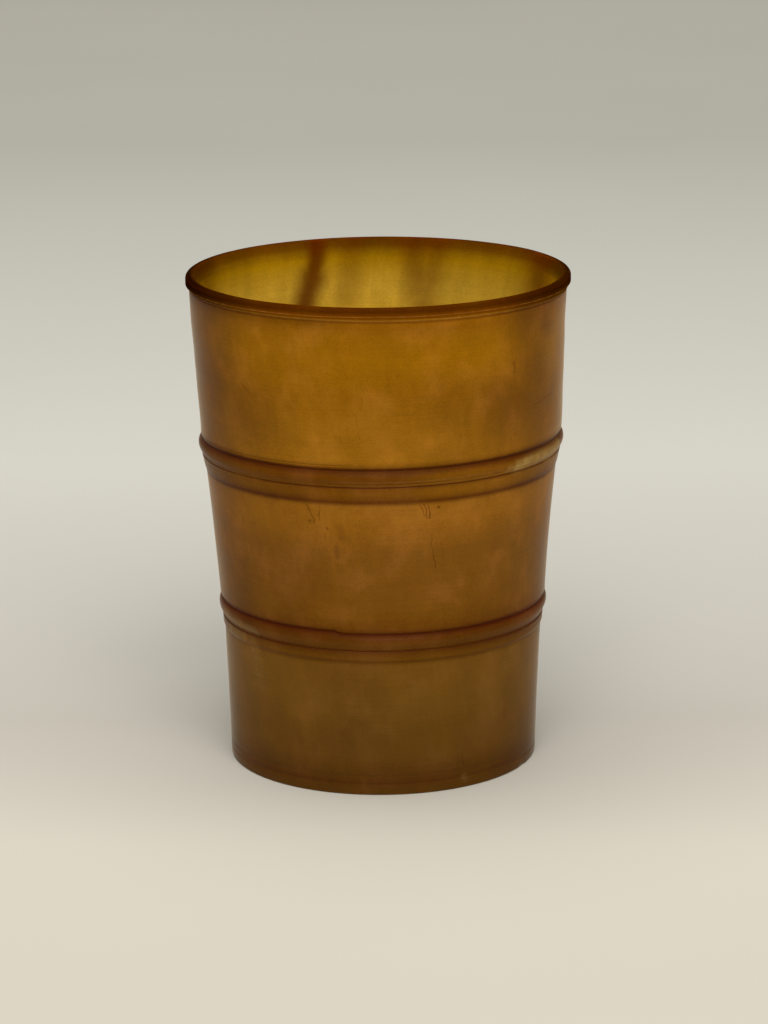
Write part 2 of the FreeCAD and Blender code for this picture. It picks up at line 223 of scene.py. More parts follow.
class StageSettings(PropertyGroup):
    """The plain studio: floor, lamps and camera."""

    camera_distance: length("Camera distance", 705.8 * MM, "From the turning axis, along the floor")
    camera_aside: length("Camera aside", 0.2 * MM, "To the right of the turning axis")
    camera_height: length("Camera height", 233.9 * MM, "Above the table")
    camera_pitch: camera_turn("Camera pitch", 14.549, "How far the camera looks down")
    camera_roll: camera_turn("Camera roll", -0.554, "Turn about the line of sight")
    camera_yaw: camera_turn("Camera yaw", 0.0439, "Turn to the right")
    lens: FloatProperty(name="Lens", description="Focal length in mm, on a 36 mm sensor", default=124.1)
    # The floor's colours hold painted light and shade, darker beside the beaker and lighter further back.
    floor_near: colour("Floor, near", 200, 195, 183, "Floor nearest the camera")
    floor_front: colour("Floor, front", 206, 201, 189, "Floor in front of the beaker")
    floor_middle: colour("Floor, middle", 189, 185, 176, "Floor beside the beaker")
    floor_back: colour("Floor, back", 210, 208, 200, "Floor behind the beaker")
    floor_far: colour("Floor, far", 198, 196, 186, "Floor further back")
    floor_end: colour("Floor, end", 218, 215, 204, "Floor at the top of the picture")
    sky: colour("Surroundings", 205, 203, 192, "What shows above the floor")


class BeakerSettings(PropertyGroup):
    """Everything that the sidebar shows."""

    wall: PointerProperty(type=WallSizes)
    plate: PointerProperty(type=PlateSizes)
    colours: PointerProperty(type=HornColours)
    stage: PointerProperty(type=StageSettings)


# Outlines, which are drawn in the plane of X and Z and then spun about Z

Corner = namedtuple("Corner", "radius height rounding rise", defaults=(0.0, 0.0))

ARC_POINTS = 10
ROUNDING_POINTS = 4
SAME_PLACE = 0.001 * MM
ON_CUT = 0.005 * MM


def arc_between(start, end, rise, count):
    """Points between two corners, on an arc that stands out of its chord by the rise, to its right."""
    chord = end - start
    right = Vector((chord.z, 0.0, -chord.x)).normalized()
    radius = (chord.length / 2) ** 2 / (2 * rise) + rise / 2
    half_angle = math.asin(chord.length / 2 / abs(radius))
    centre = (start + end) / 2 + right * (rise - radius)
    points = []
    for step in range(1, count):
        turn = half_angle * (1 - 2 * step / count)
        along = chord.normalized() * (-math.sin(turn) * abs(radius))
        points.append(centre + along + right * (math.cos(turn) * radius))
    return points


def draw_outline(bm, corners):
    """Draws a closed outline from its corners, rounds them and leaves a loop of edges."""
    rounded = {}
    verts = []
    for corner, after in zip(corners, corners[1:] + corners[:1]):
        start = Vector((corner.radius, 0.0, corner.height))
        vert = bm.verts.new(start)
        verts.append(vert)
        if corner.rounding:
            rounded.setdefault(round(corner.rounding / MM, 4), []).append(vert)
        if corner.rise:
            end = Vector((after.radius, 0.0, after.height))
            verts.extend(bm.verts.new(point) for point in arc_between(start, end, corner.rise, ARC_POINTS))
    bm.faces.new(verts)
    for size, group in rounded.items():
        bmesh.ops.bevel(
            bm,
            geom=group,
            offset=size * MM,
            offset_type="OFFSET",
            segments=ROUNDING_POINTS,
            profile=0.5,
            affect="VERTICES",
            clamp_overlap=True,
            material=-1,
        )
    bmesh.ops.delete(bm, geom=bm.faces[:], context="FACES_ONLY")


def cut_at_heights(bm, heights, reach):
    """Adds a point to the outline at each of those heights, where it lies further out than the reach."""
    for height in heights:
        outer = [edge for edge in bm.edges if min(vert.co.x for vert in edge.verts) > reach(height)]
        ends = {vert for edge in outer for vert in edge.verts}
        bmesh.ops.bisect_plane(
            bm,
            geom=outer + list(ends),
            dist=ON_CUT,
            plane_co=(0.0, 0.0, height),
            plane_no=(0.0, 0.0, 1.0),
        )


def divide_sides(bm, gap_at):
    """Divides the sides of the outline so that no point is further from the next than the gap there."""
    for edge in bm.edges[:]:
        middle = (edge.verts[0].co + edge.verts[1].co) / 2
        cuts = math.ceil(edge.calc_length() / gap_at(middle)) - 1
        if cuts > 0:
            bmesh.ops.subdivide_edges(bm, edges=[edge], cuts=cuts)


def in_order(bm):
    """The points of a closed outline, from its lowest one up the outside."""
    first = min(bm.verts, key=lambda vert: (round(vert.co.z, 6), -vert.co.x))
    second = max((edge.other_vert(first) for edge in first.link_edges), key=lambda vert: vert.co.x)
    order = [first, second]
    while True:
        before, last = order[-2:]
        after = next(edge.other_vert(last) for edge in last.link_edges if edge.other_vert(last) is not before)
        if after is first:
            return order
        order.append(after)


def note_turns(bm, window):
    """Writes how sharply the outline turns at each point: edge where it stands out, hollow where not."""
    edge_layer = bm.verts.layers.float.new("edge")
    hollow_layer = bm.verts.layers.float.new("hollow")
    order = in_order(bm)
    count = len(order)

    def walk(index, way):
        """The place one window along the outline from a point."""
        left = window
        place = order[index].co
        while True:
            index = (index + way) % count
            step = (order[index].co - place).length
            if step >= left:
                return place.lerp(order[index].co, left / step)
            left -= step
            place = order[index].co

    for index, vert in enumerate(order):
        coming = vert.co - walk(index, -1)
        going = walk(index, 1) - vert.co
        turn = math.atan2(coming.x * going.z - coming.z * going.x, coming.dot(going))
        vert[edge_layer] = max(0.0, turn)
        vert[hollow_layer] = max(0.0, -turn)


def spin_round(bm, steps, same_place):
    """Spins the outline right round and joins the points that meet."""
    bmesh.ops.spin(
        bm,
        geom=bm.verts[:] + bm.edges[:],
        axis=(0.0, 0.0, 1.0),
        cent=(0.0, 0.0, 0.0),
        dvec=(0.0, 0.0, 0.0),
        angle=math.tau,
        steps=steps,
        use_merge=True,
        use_duplicate=False,
        use_normal_flip=False,
    )
    bmesh.ops.remove_doubles(bm, verts=bm.verts[:], dist=same_place)


def spin_outline(bm, steps):
    """Spins a closed outline into a closed shell whose faces point outwards."""
    spin_round(bm, steps, SAME_PLACE)
    bmesh.ops.dissolve_degenerate(bm, dist=SAME_PLACE, edges=bm.edges[:])
    bmesh.ops.recalc_face_normals(bm, faces=bm.faces[:])


def add_object(name, data):
    """Puts a new object into the scene."""
    made = bpy.data.objects.new(name, data)
    bpy.context.scene.collection.objects.link(made)
    return made


def add_mesh(name, bm, finish):
    """Puts a new mesh with smooth faces and one finish into the scene."""
    for face in bm.faces:
        face.smooth = True
    mesh = bpy.data.meshes.new(name)
    bm.to_mesh(mesh)
    bm.free()
    mesh.materials.append(finish)
    return add_object(name, mesh)


def new_piece(name, bm, finish, node):
    """Makes a finished piece, which stands for its node of the frame."""
    piece = add_mesh(name, bm, finish)
    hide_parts(node)
    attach(piece, BODY)


def straight_share(value, low, high):
    """0 at the low end, 1 at the high end and straight between them."""
    return (value - low) / (high - low)


def smooth_share(value, low, high):
    """0 below the low end, 1 above the high end and smooth between them."""
    share = min(1.0, max(0.0, straight_share(value, low, high)))
    return share * share * (3 - 2 * share)


def value_at(height, rows, share=straight_share):
    """The value at a height, from rows of heights and values. Above the last row its value holds."""
    for (low, start), (high, end) in zip(rows, rows[1:]):
        if height <= high:
            return start + (end - start) * share(height, low, high)
    return rows[-1][1]


# The wall

Band = namedtuple(
    "Band",
    "ledge quirk_height bead_width crown_drop crown_rise strip_width strip_flare step_width step",
)
TurnedLine = namedtuple("TurnedLine", "height depth width start end")
Chip = namedtuple("Chip", "angle height depth width tall")

# Gaps between the rows of the mesh
BORE_GAP = 2.4 * MM
PLAIN_GAP = 1.3 * MM
FINE_GAP = 0.3 * MM

# A fine line is cut with rows at these shares of its width, and fades out over these degrees
LINE_ROWS = (-0.5, -0.25, 0.0, 0.25, 0.5)
LINE_FADE = 9.0
DEEPEST_LINE = 0.09 * MM

# Where the tool was set down and lifted again at the lower quirk, and how far the ring misses itself there
JOG_ANGLE = math.radians(-16.0)
JOG_SIZE = 0.45 * MM
JOG_WIDTH = 0.004

RAGGED_ARRIS = 0.09 * MM
UNEVEN_LIP = 0.04 * MM
LIP_WEAR_START = 99.6 * MM

# How far the rings of the warped wall stand to the right at each height
WARP = [
    (height * MM, aside * MM)
    for height, aside in (
        (0.0, 0.15),
        (10.0, 0.17),
        (20.0, 0.22),
        (33.0, 0.33),
        (45.0, 0.25),
        (67.0, 0.26),
        (71.0, 0.36),
        (79.0, 0.18),
        (86.0, 0.08),
        (92.0, -0.1),
        (98.0, -0.06),
        (99.0, 0.0),
    )
]

# Chips in the rim and the foot: degrees from the front, then height, depth, width and tallness in millimetres
CHIPS = [
    Chip(angle, *(size * MM for size in sizes))
    for angle, *sizes in (
        (-55.0, 99.02, 0.16, 1.5, 0.5),
        (-52.4, 98.8, 0.1, 0.9, 0.3),
        (-36.9, 98.85, 0.15, 0.8, 0.4),
        (23.0, 98.85, 0.08, 1.1, 0.3),
        (104.0, 98.9, 0.12, 1.4, 0.4),
        (171.0, 98.9, 0.14, 1.0, 0.4),
        (-128.0, 101.2, 0.1, 1.6, 0.6),
        (64.0, 0.2, 0.15, 1.8, 0.6),
        (-96.0, 0.1, 0.12, 1.2, 0.5),
    )
]


def section_feet(sizes):
    """The radii at the foot of the upper, the middle and the lower section."""
    upper = sizes.rim_radius - sizes.rim_projection - sizes.upper_flare
    middle_top = upper - sizes.upper_ledge - sizes.upper_strip_flare - sizes.upper_step
    middle = middle_top - sizes.middle_flare
    lower_top = middle - sizes.lower_ledge - sizes.lower_strip_flare - sizes.lower_step
    return upper, middle, lower_top - sizes.lower_flare


def bore_radius(sizes, height):
    """The radius of the bore at a height, on its three tapers."""
    upper_foot, middle_foot, foot = section_feet(sizes)
    upper_top = sizes.rim_radius - sizes.rim_projection
    rows = [
        (0.0, foot - sizes.foot_thickness),
        (sizes.lower_quirk_height, middle_foot - sizes.lower_thickness),
        (sizes.upper_quirk_height, upper_foot - sizes.upper_thickness),
        (sizes.height - sizes.throat_depth, upper_top - sizes.top_thickness),
        (sizes.height, sizes.rim_radius - sizes.lip_thickness),
    ]
    return value_at(height, rows)


def band_corners(sizes, place, foot_radius):
    """The upper or the lower band, from its step up to the foot of the section over it."""
    band = Band(*(getattr(sizes, f"{place}_{part}") for part in Band._fields))
    edge = sizes.edge_rounding
    score_radius = foot_radius - band.ledge
    score_height = band.quirk_height - band.bead_width
    strip_radius = score_radius - band.strip_flare
    strip_height = score_height - band.strip_width
    half = sizes.score_width / 2
    return [
        Corner(strip_radius - band.step, strip_height - band.step_width, band.step_width / 3),
        Corner(strip_radius, strip_height, band.step_width / 4),
        Corner(score_radius, score_height - half, edge),
        Corner(score_radius - sizes.score_depth, score_height, edge / 4),
        Corner(score_radius, score_height + half, edge),
        Corner(score_radius + band.crown_rise, band.quirk_height - band.crown_drop, sizes.crest_rounding),
        Corner(foot_radius - sizes.quirk_depth, band.quirk_height, edge / 2),
        Corner(foot_radius, band.quirk_height + sizes.quirk_width, edge),
    ]


def wall_corners(sizes):
    """The wall's outline: up the outside from the foot, over the lip, down the bore and round the groove."""
    upper, middle, foot = section_feet(sizes)
    upper_top = upper + sizes.upper_flare
    arris_height = sizes.height - sizes.rim_height
    edge = sizes.edge_rounding
    lower_band = band_corners(sizes, "lower", middle)
    lower_band[-1] = lower_band[-1]._replace(rise=-sizes.middle_hollow)
    upper_band = band_corners(sizes, "upper", upper)
    rim = [
        Corner(upper_top, arris_height - sizes.arris_width, edge),
        Corner(upper_top + sizes.arris_projection, arris_height, edge, -sizes.rim_cove),
        Corner(sizes.rim_radius, sizes.height - sizes.rim_face_height, 3 * edge),
        Corner(sizes.rim_radius, sizes.height, sizes.lip_outer_rounding),
        Corner(sizes.rim_radius - sizes.lip_thickness, sizes.height, sizes.lip_inner_rounding),
    ]
    bore_heights = (sizes.height - sizes.throat_depth, sizes.upper_quirk_height, sizes.lower_quirk_height)
    bore = [Corner(bore_radius(sizes, height), height, 10 * edge) for height in bore_heights]
    groove = [
        Corner(bore_radius(sizes, sizes.groove_high), sizes.groove_high, edge),
        Corner(sizes.groove_floor_radius, sizes.groove_high),
        Corner(sizes.groove_floor_radius, sizes.groove_low),
        Corner(bore_radius(sizes, sizes.groove_low), sizes.groove_low, edge),
    ]
    foot_edges = [
        Corner(bore_radius(sizes, 0.0), 0.0, sizes.foot_chamfer),
        Corner(foot, 0.0, sizes.foot_rounding, -sizes.lower_hollow),
    ]
    return foot_edges + lower_band + upper_band + rim + bore + groove


def hand_turned_lines(sizes):
    """Fine lines that the tool left beside the mouldings. Each fades out between its start and its end."""
    arris = sizes.height - sizes.rim_height
    upper_quirk = sizes.upper_quirk_height
    upper_score = upper_quirk - sizes.upper_bead_width
    lower_score = sizes.lower_quirk_height - sizes.lower_bead_width
    rows = [
        (arris, -1.2, 0.09, 0.3, -200.0, 200.0),
        (arris, -0.62, 0.05, 0.2, -150.0, -28.0),
        (upper_quirk, 0.98, 0.09, 0.26, -75.0, -6.0),
        (upper_quirk, 1.5, 0.03, 0.2, 60.0, 190.0),
        (upper_score, 0.7, 0.07, 0.26, -190.0, 190.0),
        (upper_score, 1.3, 0.03, 0.2, -60.0, 30.0),
        (upper_score, -0.9, 0.03, 0.2, -80.0, 10.0),
        (lower_score, 0.7, 0.05, 0.22, -90.0, 50.0),
        (lower_score, -1.0, 0.03, 0.2, -40.0, 120.0),
        (0.0, 2.3, 0.05, 0.3, -200.0, 200.0),
        (0.0, 3.9, 0.03, 0.26, -120.0, 60.0),
    ]
    return [
        TurnedLine(place + rise * MM, depth * MM, width * MM, start, end)
        for place, rise, depth, width, start, end in rows
    ]


def line_share(line, angle, height):
    """How deep a fine line is cut at a place, from 0 to 1."""
    across = abs(height - line.height) / (line.width / 2)
    if across >= 1:
        return 0.0
    degrees = math.degrees(angle)
    fade = smooth_share(degrees, line.start, line.start + LINE_FADE)
    fade *= 1 - smooth_share(degrees, line.end - LINE_FADE, line.end)
    return (1 - across) * fade


def chip_share(chip, angle, height, radius):
    """How deep a chip is at a place, from 0 to 1."""
    gap = math.remainder(angle - math.radians(chip.angle), math.tau) * radius
    away = math.hypot(gap / chip.width, (height - chip.height) / chip.tall)
    return 1 - smooth_share(away, 0.3, 1.0)


def level_shift(sizes, angle, height):
    """How far a ring of the wall is out of level at an angle. The rings were turned by eye."""
    tilts = [
        (0.0, 0.0),
        (sizes.lower_quirk_height, 0.04 * MM),
        (sizes.upper_quirk_height, 0.3 * MM),
        (sizes.height - sizes.rim_height, -0.2 * MM),
        (sizes.height - sizes.rim_face_height, 0.0),
    ]
    near_quirk = 1 - smooth_share(abs(height - sizes.lower_quirk_height), 0.3 * MM, 1.6 * MM)
    turned = ((angle - JOG_ANGLE) % math.tau) / math.tau
    jog = (0.5 - turned) * JOG_SIZE * near_quirk * smooth_share(turned, 0.0, JOG_WIDTH)
    return value_at(height, tilts) * math.sin(angle) - jog


def weather_wall(bm, sizes):
    """Gives the wall its fine lines, its chips and the small unevenness of hand work, all of it inwards."""
    inside_layer = bm.verts.layers.float["inside"]
    edge_layer = bm.verts.layers.float["edge"]
    hollow_layer = bm.verts.layers.float["hollow"]
    level_layer = bm.verts.layers.float.new("level")
    lines = hand_turned_lines(sizes)
    arris_height = sizes.height - sizes.rim_height
    for vert in bm.verts:
        angle = math.atan2(vert.co.x, -vert.co.y)
        radius = math.hypot(vert.co.x, vert.co.y)
        height = vert.co.z
        vert[level_layer] = height / MM
        around = Vector((math.sin(angle), -math.cos(angle), 0.0))
        sway = noise.noise(around * 1.3 + Vector((0.0, 0.0, height / MM * 0.035)))
        inwards = sizes.wander * sway * smooth_share(height, 0.0, 12 * MM)
        inwards += sizes.wander * smooth_share(height, arris_height - 1 * MM, arris_height + 0.6 * MM)
        lift = 0.0
        if vert[inside_layer] < 0.5:
            lift = level_shift(sizes, angle, height)
            for line in lines:
                share = line_share(line, angle, height)
                inwards += line.depth * share
                vert[hollow_layer] = max(vert[hollow_layer], share * line.depth / DEEPEST_LINE * 0.8)
            at_arris = 1 - smooth_share(abs(height - arris_height), 0.12 * MM, 0.5 * MM)
            ragged = max(0.0, noise.noise(around * 24.0 + Vector((0.0, 0.0, 5.0))))
            inwards += RAGGED_ARRIS * ragged * at_arris
            for chip in CHIPS:
                bite = chip_share(chip, angle, height, radius)
                inwards += chip.depth * bite
                vert[edge_layer] = max(vert[edge_layer] * (1 - 0.8 * bite), 0.9 * bite * (1 - bite) * 4)
        worn_down = UNEVEN_LIP * (1 + noise.noise(around * 3.0)) + sizes.lip_wear * (1 + math.cos(angle)) / 2
        lift -= worn_down * smooth_share(height, LIP_WEAR_START, sizes.height)
        factor = (radius - inwards) / radius
        warp = value_at(height, WARP, smooth_share)
        vert.co = Vector((vert.co.x * factor + warp, vert.co.y * factor, height + lift))


def make_wall_mesh(sizes):
    """The wall's mesh, with what its finish needs written on its points."""
    bm = bmesh.new()
    draw_outline(bm, wall_corners(sizes))
    lines = hand_turned_lines(sizes)
    heights = [line.height + share * line.width for line in lines for share in LINE_ROWS]
    half_wall = sizes.foot_thickness / 2
    cut_at_heights(bm, heights, lambda height: bore_radius(sizes, height) + half_wall)

    def gap_at(place):
        """The gap between rows: fine by the mouldings, wider on the plain sections and in the bore."""
        if place.x < bore_radius(sizes, place.z) + half_wall:
            return BORE_GAP
        by_upper_band = -1.6 * MM < sizes.upper_quirk_height - place.z < 8.0 * MM
        by_lower_band = -1.6 * MM < sizes.lower_quirk_height - place.z < 7.0 * MM
        by_rim = place.z > sizes.height - sizes.rim_height - 1.6 * MM
        return FINE_GAP if by_upper_band or by_lower_band or by_rim else PLAIN_GAP

    divide_sides(bm, gap_at)
    note_turns(bm, FINE_GAP)
    inside_layer = bm.verts.layers.float.new("inside")
    lip_middle = sizes.rim_radius - sizes.lip_thickness * 0.6
    groove_reach = sizes.groove_floor_radius + 0.1 * MM
    for vert in bm.verts:
        bore = bore_radius(sizes, vert.co.z)
        within = vert.co.x < (lip_middle if vert.co.z > sizes.height - 0.5 * MM else bore + half_wall)
        by_groove = sizes.groove_low - 0.1 * MM < vert.co.z < sizes.groove_high + 0.1 * MM
        vert[inside_layer] = 1.0 if within or (by_groove and vert.co.x < groove_reach) else 0.0
    spin_outline(bm, sizes.steps)
    weather_wall(bm, sizes)
    return bm


# The plate


def plate_corners(sizes):
    """The plate's outline, from the middle of its underside round its tongue to the middle of its hollow."""
    edge = sizes.edge_rounding
    shoulder = sizes.tongue_radius - sizes.shoulder
    face = shoulder - sizes.bevel
    dish = face - sizes.dish_margin
    middle = (sizes.low + sizes.high) / 2
    tongue_low = middle - sizes.tongue_thickness / 2
    tongue_high = middle + sizes.tongue_thickness / 2
    floor = sizes.high - sizes.dish_depth
    return [
        Corner(0.0, sizes.low),
        Corner(face, sizes.low, edge),
        Corner(shoulder, tongue_low, edge / 2),
        Corner(sizes.tongue_radius, tongue_low, edge),
        Corner(sizes.tongue_radius, tongue_high, edge),
        Corner(shoulder, tongue_high, edge / 2),
        Corner(face, sizes.high, edge),
        Corner(dish, sizes.high, 3 * edge),
        Corner(dish - sizes.dish_slope, floor, 3 * edge),
        Corner(0.0, floor),
    ]


def make_plate_mesh(sizes):
    """The plate's mesh, with the rings that the tool left on both faces."""
    bm = bmesh.new()
    draw_outline(bm, plate_corners(sizes))
    divide_sides(bm, lambda place: 0.3 * MM if place.x > 1.0 * MM else 4.0 * MM)
    note_turns(bm, 0.4 * MM)
    on_axis = [edge for edge in bm.edges if all(vert.co.x < 0.01 * MM for vert in edge.verts)]
    bmesh.ops.delete(bm, geom=on_axis, context="EDGES")
    spin_outline(bm, sizes.steps)
    shoulder = sizes.tongue_radius - sizes.shoulder
    for vert in bm.verts:
        radius = math.hypot(vert.co.x, vert.co.y)
        on_face = smooth_share(radius, 0.5 * MM, 3.0 * MM)
        on_face *= 1 - smooth_share(radius, shoulder - 2 * MM, shoulder)
        turn = radius / sizes.ripple_width + 0.8 * noise.noise(Vector((radius / MM * 0.6, 0.0, 2.0)))
        depth = sizes.ripple * (1 + math.cos(math.tau * turn)) / 2 * on_face
        upper = vert.co.z > (sizes.low + sizes.high) / 2
        vert.co.z += -depth if upper else depth
    return bm


# Finishes


class Value:
    """A socket of a finish's nodes, with the arithmetic that adds nodes to them."""

    def __init__(self, finish, socket):
        self.finish = finish
        self.socket = socket

    def __add__(self, other):
        return self.finish.calculate("ADD", self, other)

    def __radd__(self, other):
        return self.finish.calculate("ADD", other, self)

    def __sub__(self, other):
        return self.finish.calculate("SUBTRACT", self, other)

    def __rsub__(self, other):
        return self.finish.calculate("SUBTRACT", other, self)

    def __mul__(self, other):
        return self.finish.calculate("MULTIPLY", self, other)

    def __rmul__(self, other):
        return self.finish.calculate("MULTIPLY", other, self)

    def __truediv__(self, other):
        return self.finish.calculate("DIVIDE", self, other)

    def __pow__(self, other):
        return self.finish.calculate("POWER", self, other)

    def __neg__(self):
        return self.finish.calculate("MULTIPLY", self, -1.0)

    def swing(self, width):
        """A noise, moved to swing evenly about 0 by this width in all."""
        return (self - 0.5) * width


class Finish:
    """The nodes of a material, or of the surroundings, while they are being written."""

    def __init__(self, owner):
        owner.use_nodes = True
        self.owner = owner
        self.nodes = owner.node_tree.nodes
        self.links = owner.node_tree.links
        self.nodes.clear()

    def node(self, kind, settings=None, sockets=None, out=0):
        """Adds a node: first its settings, then values or links for its sockets. Gives one of its outputs."""
        made = self.nodes.new(kind)
        for name, value in (settings or {}).items():
            if name == "stops":
                self.set_stops(made.color_ramp, value)
            else:
                setattr(made, name, value)
        for name, value in (sockets or {}).items():
            if isinstance(value, Value):
                self.links.new(value.socket, made.inputs[name])
            else:
                made.inputs[name].default_value = value
        return Value(self, made.outputs[out]) if made.outputs else None

    def set_stops(self, ramp, stops):
        """Sets a ramp's stops, each a place from 0 to 1 and a colour."""
        while len(ramp.elements) < len(stops):
            ramp.elements.new(1.0)
        for element, (place, tone) in zip(ramp.elements, stops):
            element.position = place
            element.color = (*tone, 1.0)

    def calculate(self, operation, first, second=0.0):
        """One step of arithmetic."""
        return self.node("ShaderNodeMath", {"operation": operation}, {0: first, 1: second})

    def largest(self, values):
        """The largest of several values."""
        found = values[0]
        for value in values[1:]:
            found = self.calculate("MAXIMUM", found, value)
        return found

    def smooth(self, value, low, high, at_low=0.0, at_high=1.0):
        """The first value below the low end, the second above the high end, and smooth between them."""
        settings = {"interpolation_type": "SMOOTHSTEP"}
        ends = {"From Min": low, "From Max": high, "To Min": at_low, "To Max": at_high}
        return self.node("ShaderNodeMapRange", settings, {"Value": value, **ends})

    def vector(self, operation, *parts):
        """One step of vector arithmetic that gives a vector."""
        return self.node("ShaderNodeVectorMath", {"operation": operation}, dict(enumerate(parts)))

    def measure(self, operation, *parts):
        """One step of vector arithmetic that gives a number."""
        settings = {"operation": operation}
        return self.node("ShaderNodeVectorMath", settings, dict(enumerate(parts)), out="Value")

    def scaled(self, tone, share):
        """A colour made lighter or darker by a share."""
        return self.node("ShaderNodeVectorMath", {"operation": "SCALE"}, {0: tone, "Scale": share})

    def mixed(self, share, first, second):
        """A colour between two others."""
        settings = {"data_type": "RGBA", "clamp_factor": True}
        tones = [tone if isinstance(tone, Value) else (*tone, 1.0) for tone in (first, second)]
        return self.node("ShaderNodeMix", settings, {0: share, 6: tones[0], 7: tones[1]}, out=2)

    def grain(self, place, stretch, detail=2.0, roughness=0.5, offset=0.0):
        """A noise from 0 to 1 whose patches are 1 / stretch millimetres across each way."""
        start = (offset, offset * 0.7, offset * 1.3)
        at = self.vector("MULTIPLY_ADD", place, [part / MM for part in stretch], start)
        return self.node(
            "ShaderNodeTexNoise",
            {"noise_dimensions": "3D"},
            {"Vector": at, "Scale": 1.0, "Detail": detail, "Roughness": roughness},
        )

    def attribute(self, name):
        """A number that was written on the points of the mesh."""
        return self.node("ShaderNodeAttribute", {"attribute_name": name}, out="Fac")

    def done(self, shader, output="ShaderNodeOutputMaterial"):
        """Joins the shader to the output and gives the material or the surroundings."""
        self.node(output, None, {"Surface": shader})
        return self.owner


Mark = namedtuple("Mark", "start_angle start_height end_angle end_height width softness strength")

SURFACE_RADIUS = 36.0

# Scratches, nicks and specks that show on the front, in degrees from the front and millimetres up. The first
# two darken the upper scored line in front, grime and painted shade together
SCRATCHES = [
    Mark(12.0, 65.0, 62.0, 65.0, 0.6, 0.9, 0.6),
    Mark(-40.0, 65.0, 12.0, 65.0, 0.5, 0.9, 0.3),
    Mark(-23.7, 60.9, -21.4, 57.7, 0.2, 0.6, 0.7),
    Mark(-19.6, 61.0, -19.8, 58.0, 0.16, 0.6, 0.6),
    Mark(-23.5, 57.65, -23.2, 57.6, 0.5, 0.6, 0.6),
    Mark(-21.9, 57.5, -21.6, 57.4, 0.35, 0.6, 0.6),
    Mark(-17.4, 56.4, -17.2, 56.1, 0.4, 0.7, 0.5),
    Mark(-18.4, 55.2, -18.0, 53.9, 0.22, 0.7, 0.35),
    Mark(12.7, 61.1, 13.9, 58.7, 0.2, 0.6, 0.6),
    Mark(13.8, 61.2, 15.0, 58.2, 0.2, 0.6, 0.7),
    Mark(15.0, 60.9, 15.9, 58.2, 0.24, 0.6, 0.7),
    Mark(18.3, 60.4, 18.6, 60.3, 0.5, 0.6, 0.7),
    Mark(16.6, 54.7, 17.2, 51.0, 0.16, 0.7, 0.5),
    Mark(17.2, 51.0, 18.0, 47.7, 0.24, 0.7, 0.6),
    Mark(54.8, 77.9, 60.0, 78.2, 0.2, 0.7, 0.5),
    Mark(60.0, 78.3, 65.4, 78.9, 0.22, 0.7, 0.6),
    Mark(-7.0, 79.9, -6.2, 74.9, 0.14, 0.8, 0.3),
    Mark(-5.1, 83.3, -5.2, 80.9, 0.16, 0.8, 0.3),
    Mark(-12.0, 78.2, -12.4, 73.6, 0.14, 0.8, 0.25),
    Mark(29.6, 6.7, 30.5, 4.8, 0.2, 0.7, 0.6),
    Mark(-46.0, 84.1, -44.8, 82.9, 0.4, 0.8, 0.4),
    Mark(44.6, 88.0, 45.0, 85.9, 0.5, 0.8, 0.4),
    Mark(37.6, 66.0, 39.4, 65.9, 0.24, 0.7, 0.4),
    Mark(41.0, 66.3, 42.4, 66.2, 0.2, 0.7, 0.35),
]

# Broad soft zones darker on the outside: darker horn, and painted shade where they lie towards the left and
# right sides and under the rim on the right
SMUDGES_AND_SHADE = [
    Mark(-14.3, 52.3, -14.1, 50.5, 1.0, 0.9, 0.45),
    Mark(-13.6, 56.6, -12.2, 54.2, 1.4, 1.0, 0.3),
    Mark(44.5, 97.0, 45.5, 79.0, 1.4, 1.0, 0.2),
    Mark(52.0, 97.0, 57.0, 72.0, 13.0, 0.8, 0.58),
    Mark(-70.0, 98.0, -66.0, 70.0, 23.0, 0.9, 0.8),
    Mark(-64.0, 79.0, -45.0, 76.0, 14.0, 1.0, 0.6),
    Mark(22.0, 80.0, 38.0, 75.0, 12.0, 1.0, 0.32),
    Mark(42.0, 78.0, 64.0, 76.0, 14.0, 1.0, 0.72),
    Mark(18.0, 71.0, 60.0, 72.0, 6.0, 1.0, 0.22),
    Mark(58.0, 100.0, 60.0, 94.5, 9.0, 1.0, 0.74),
    Mark(74.0, 96.0, 73.0, 42.0, 9.0, 1.0, 0.16),
    Mark(48.0, 63.0, 66.0, 63.0, 3.6, 1.0, 0.56),
    Mark(-58.0, 62.7, -36.0, 62.1, 2.8, 1.0, 0.38),
    Mark(-38.0, 62.8, -26.0, 62.6, 2.2, 1.0, 0.2),
    Mark(-68.0, 60.0, -58.0, 44.0, 16.0, 1.0, 0.35),
    Mark(-10.0, 26.0, -9.0, 14.0, 10.0, 1.0, 0.22),
    Mark(-33.0, 40.0, -28.0, 46.0, 9.0, 1.0, 0.2),
    Mark(-43.0, 50.0, -36.0, 45.0, 7.0, 1.0, 0.2),
    Mark(118.0, 97.0, 121.0, 20.0, 7.0, 0.8, 0.4),
    Mark(-140.0, 98.0, -136.0, 40.0, 10.0, 1.0, 0.35),
    Mark(168.0, 60.0, 170.0, 5.0, 9.0, 1.0, 0.3),
]

# Pale patches: painted reflections of the surroundings together with scuffs at the right end of the upper
# bead and the left end of the lower one, then an upright rub below it and a few more rubs
SCRAPES_AND_REFLECTIONS = [
    Mark(43.0, 66.1, 47.0, 66.2, 1.3, 1.0, 0.22),
    Mark(47.0, 66.1, 53.0, 66.6, 2.0, 1.0, 0.5),
    Mark(54.0, 66.5, 74.0, 66.8, 2.3, 1.0, 0.36),
    Mark(-74.0, 32.4, -50.0, 31.4, 1.8, 1.0, 0.14),
    Mark(-70.0, 29.4, -58.0, 29.4, 2.2, 1.0, 0.14),
    Mark(-53.0, 29.0, -51.0, 22.0, 4.0, 1.0, 0.06),
    Mark(31.0, 2.2, 31.4, 1.9, 1.4, 1.0, 0.08),
    Mark(152.0, 67.0, 158.0, 66.8, 2.4, 1.0, 0.16),
]

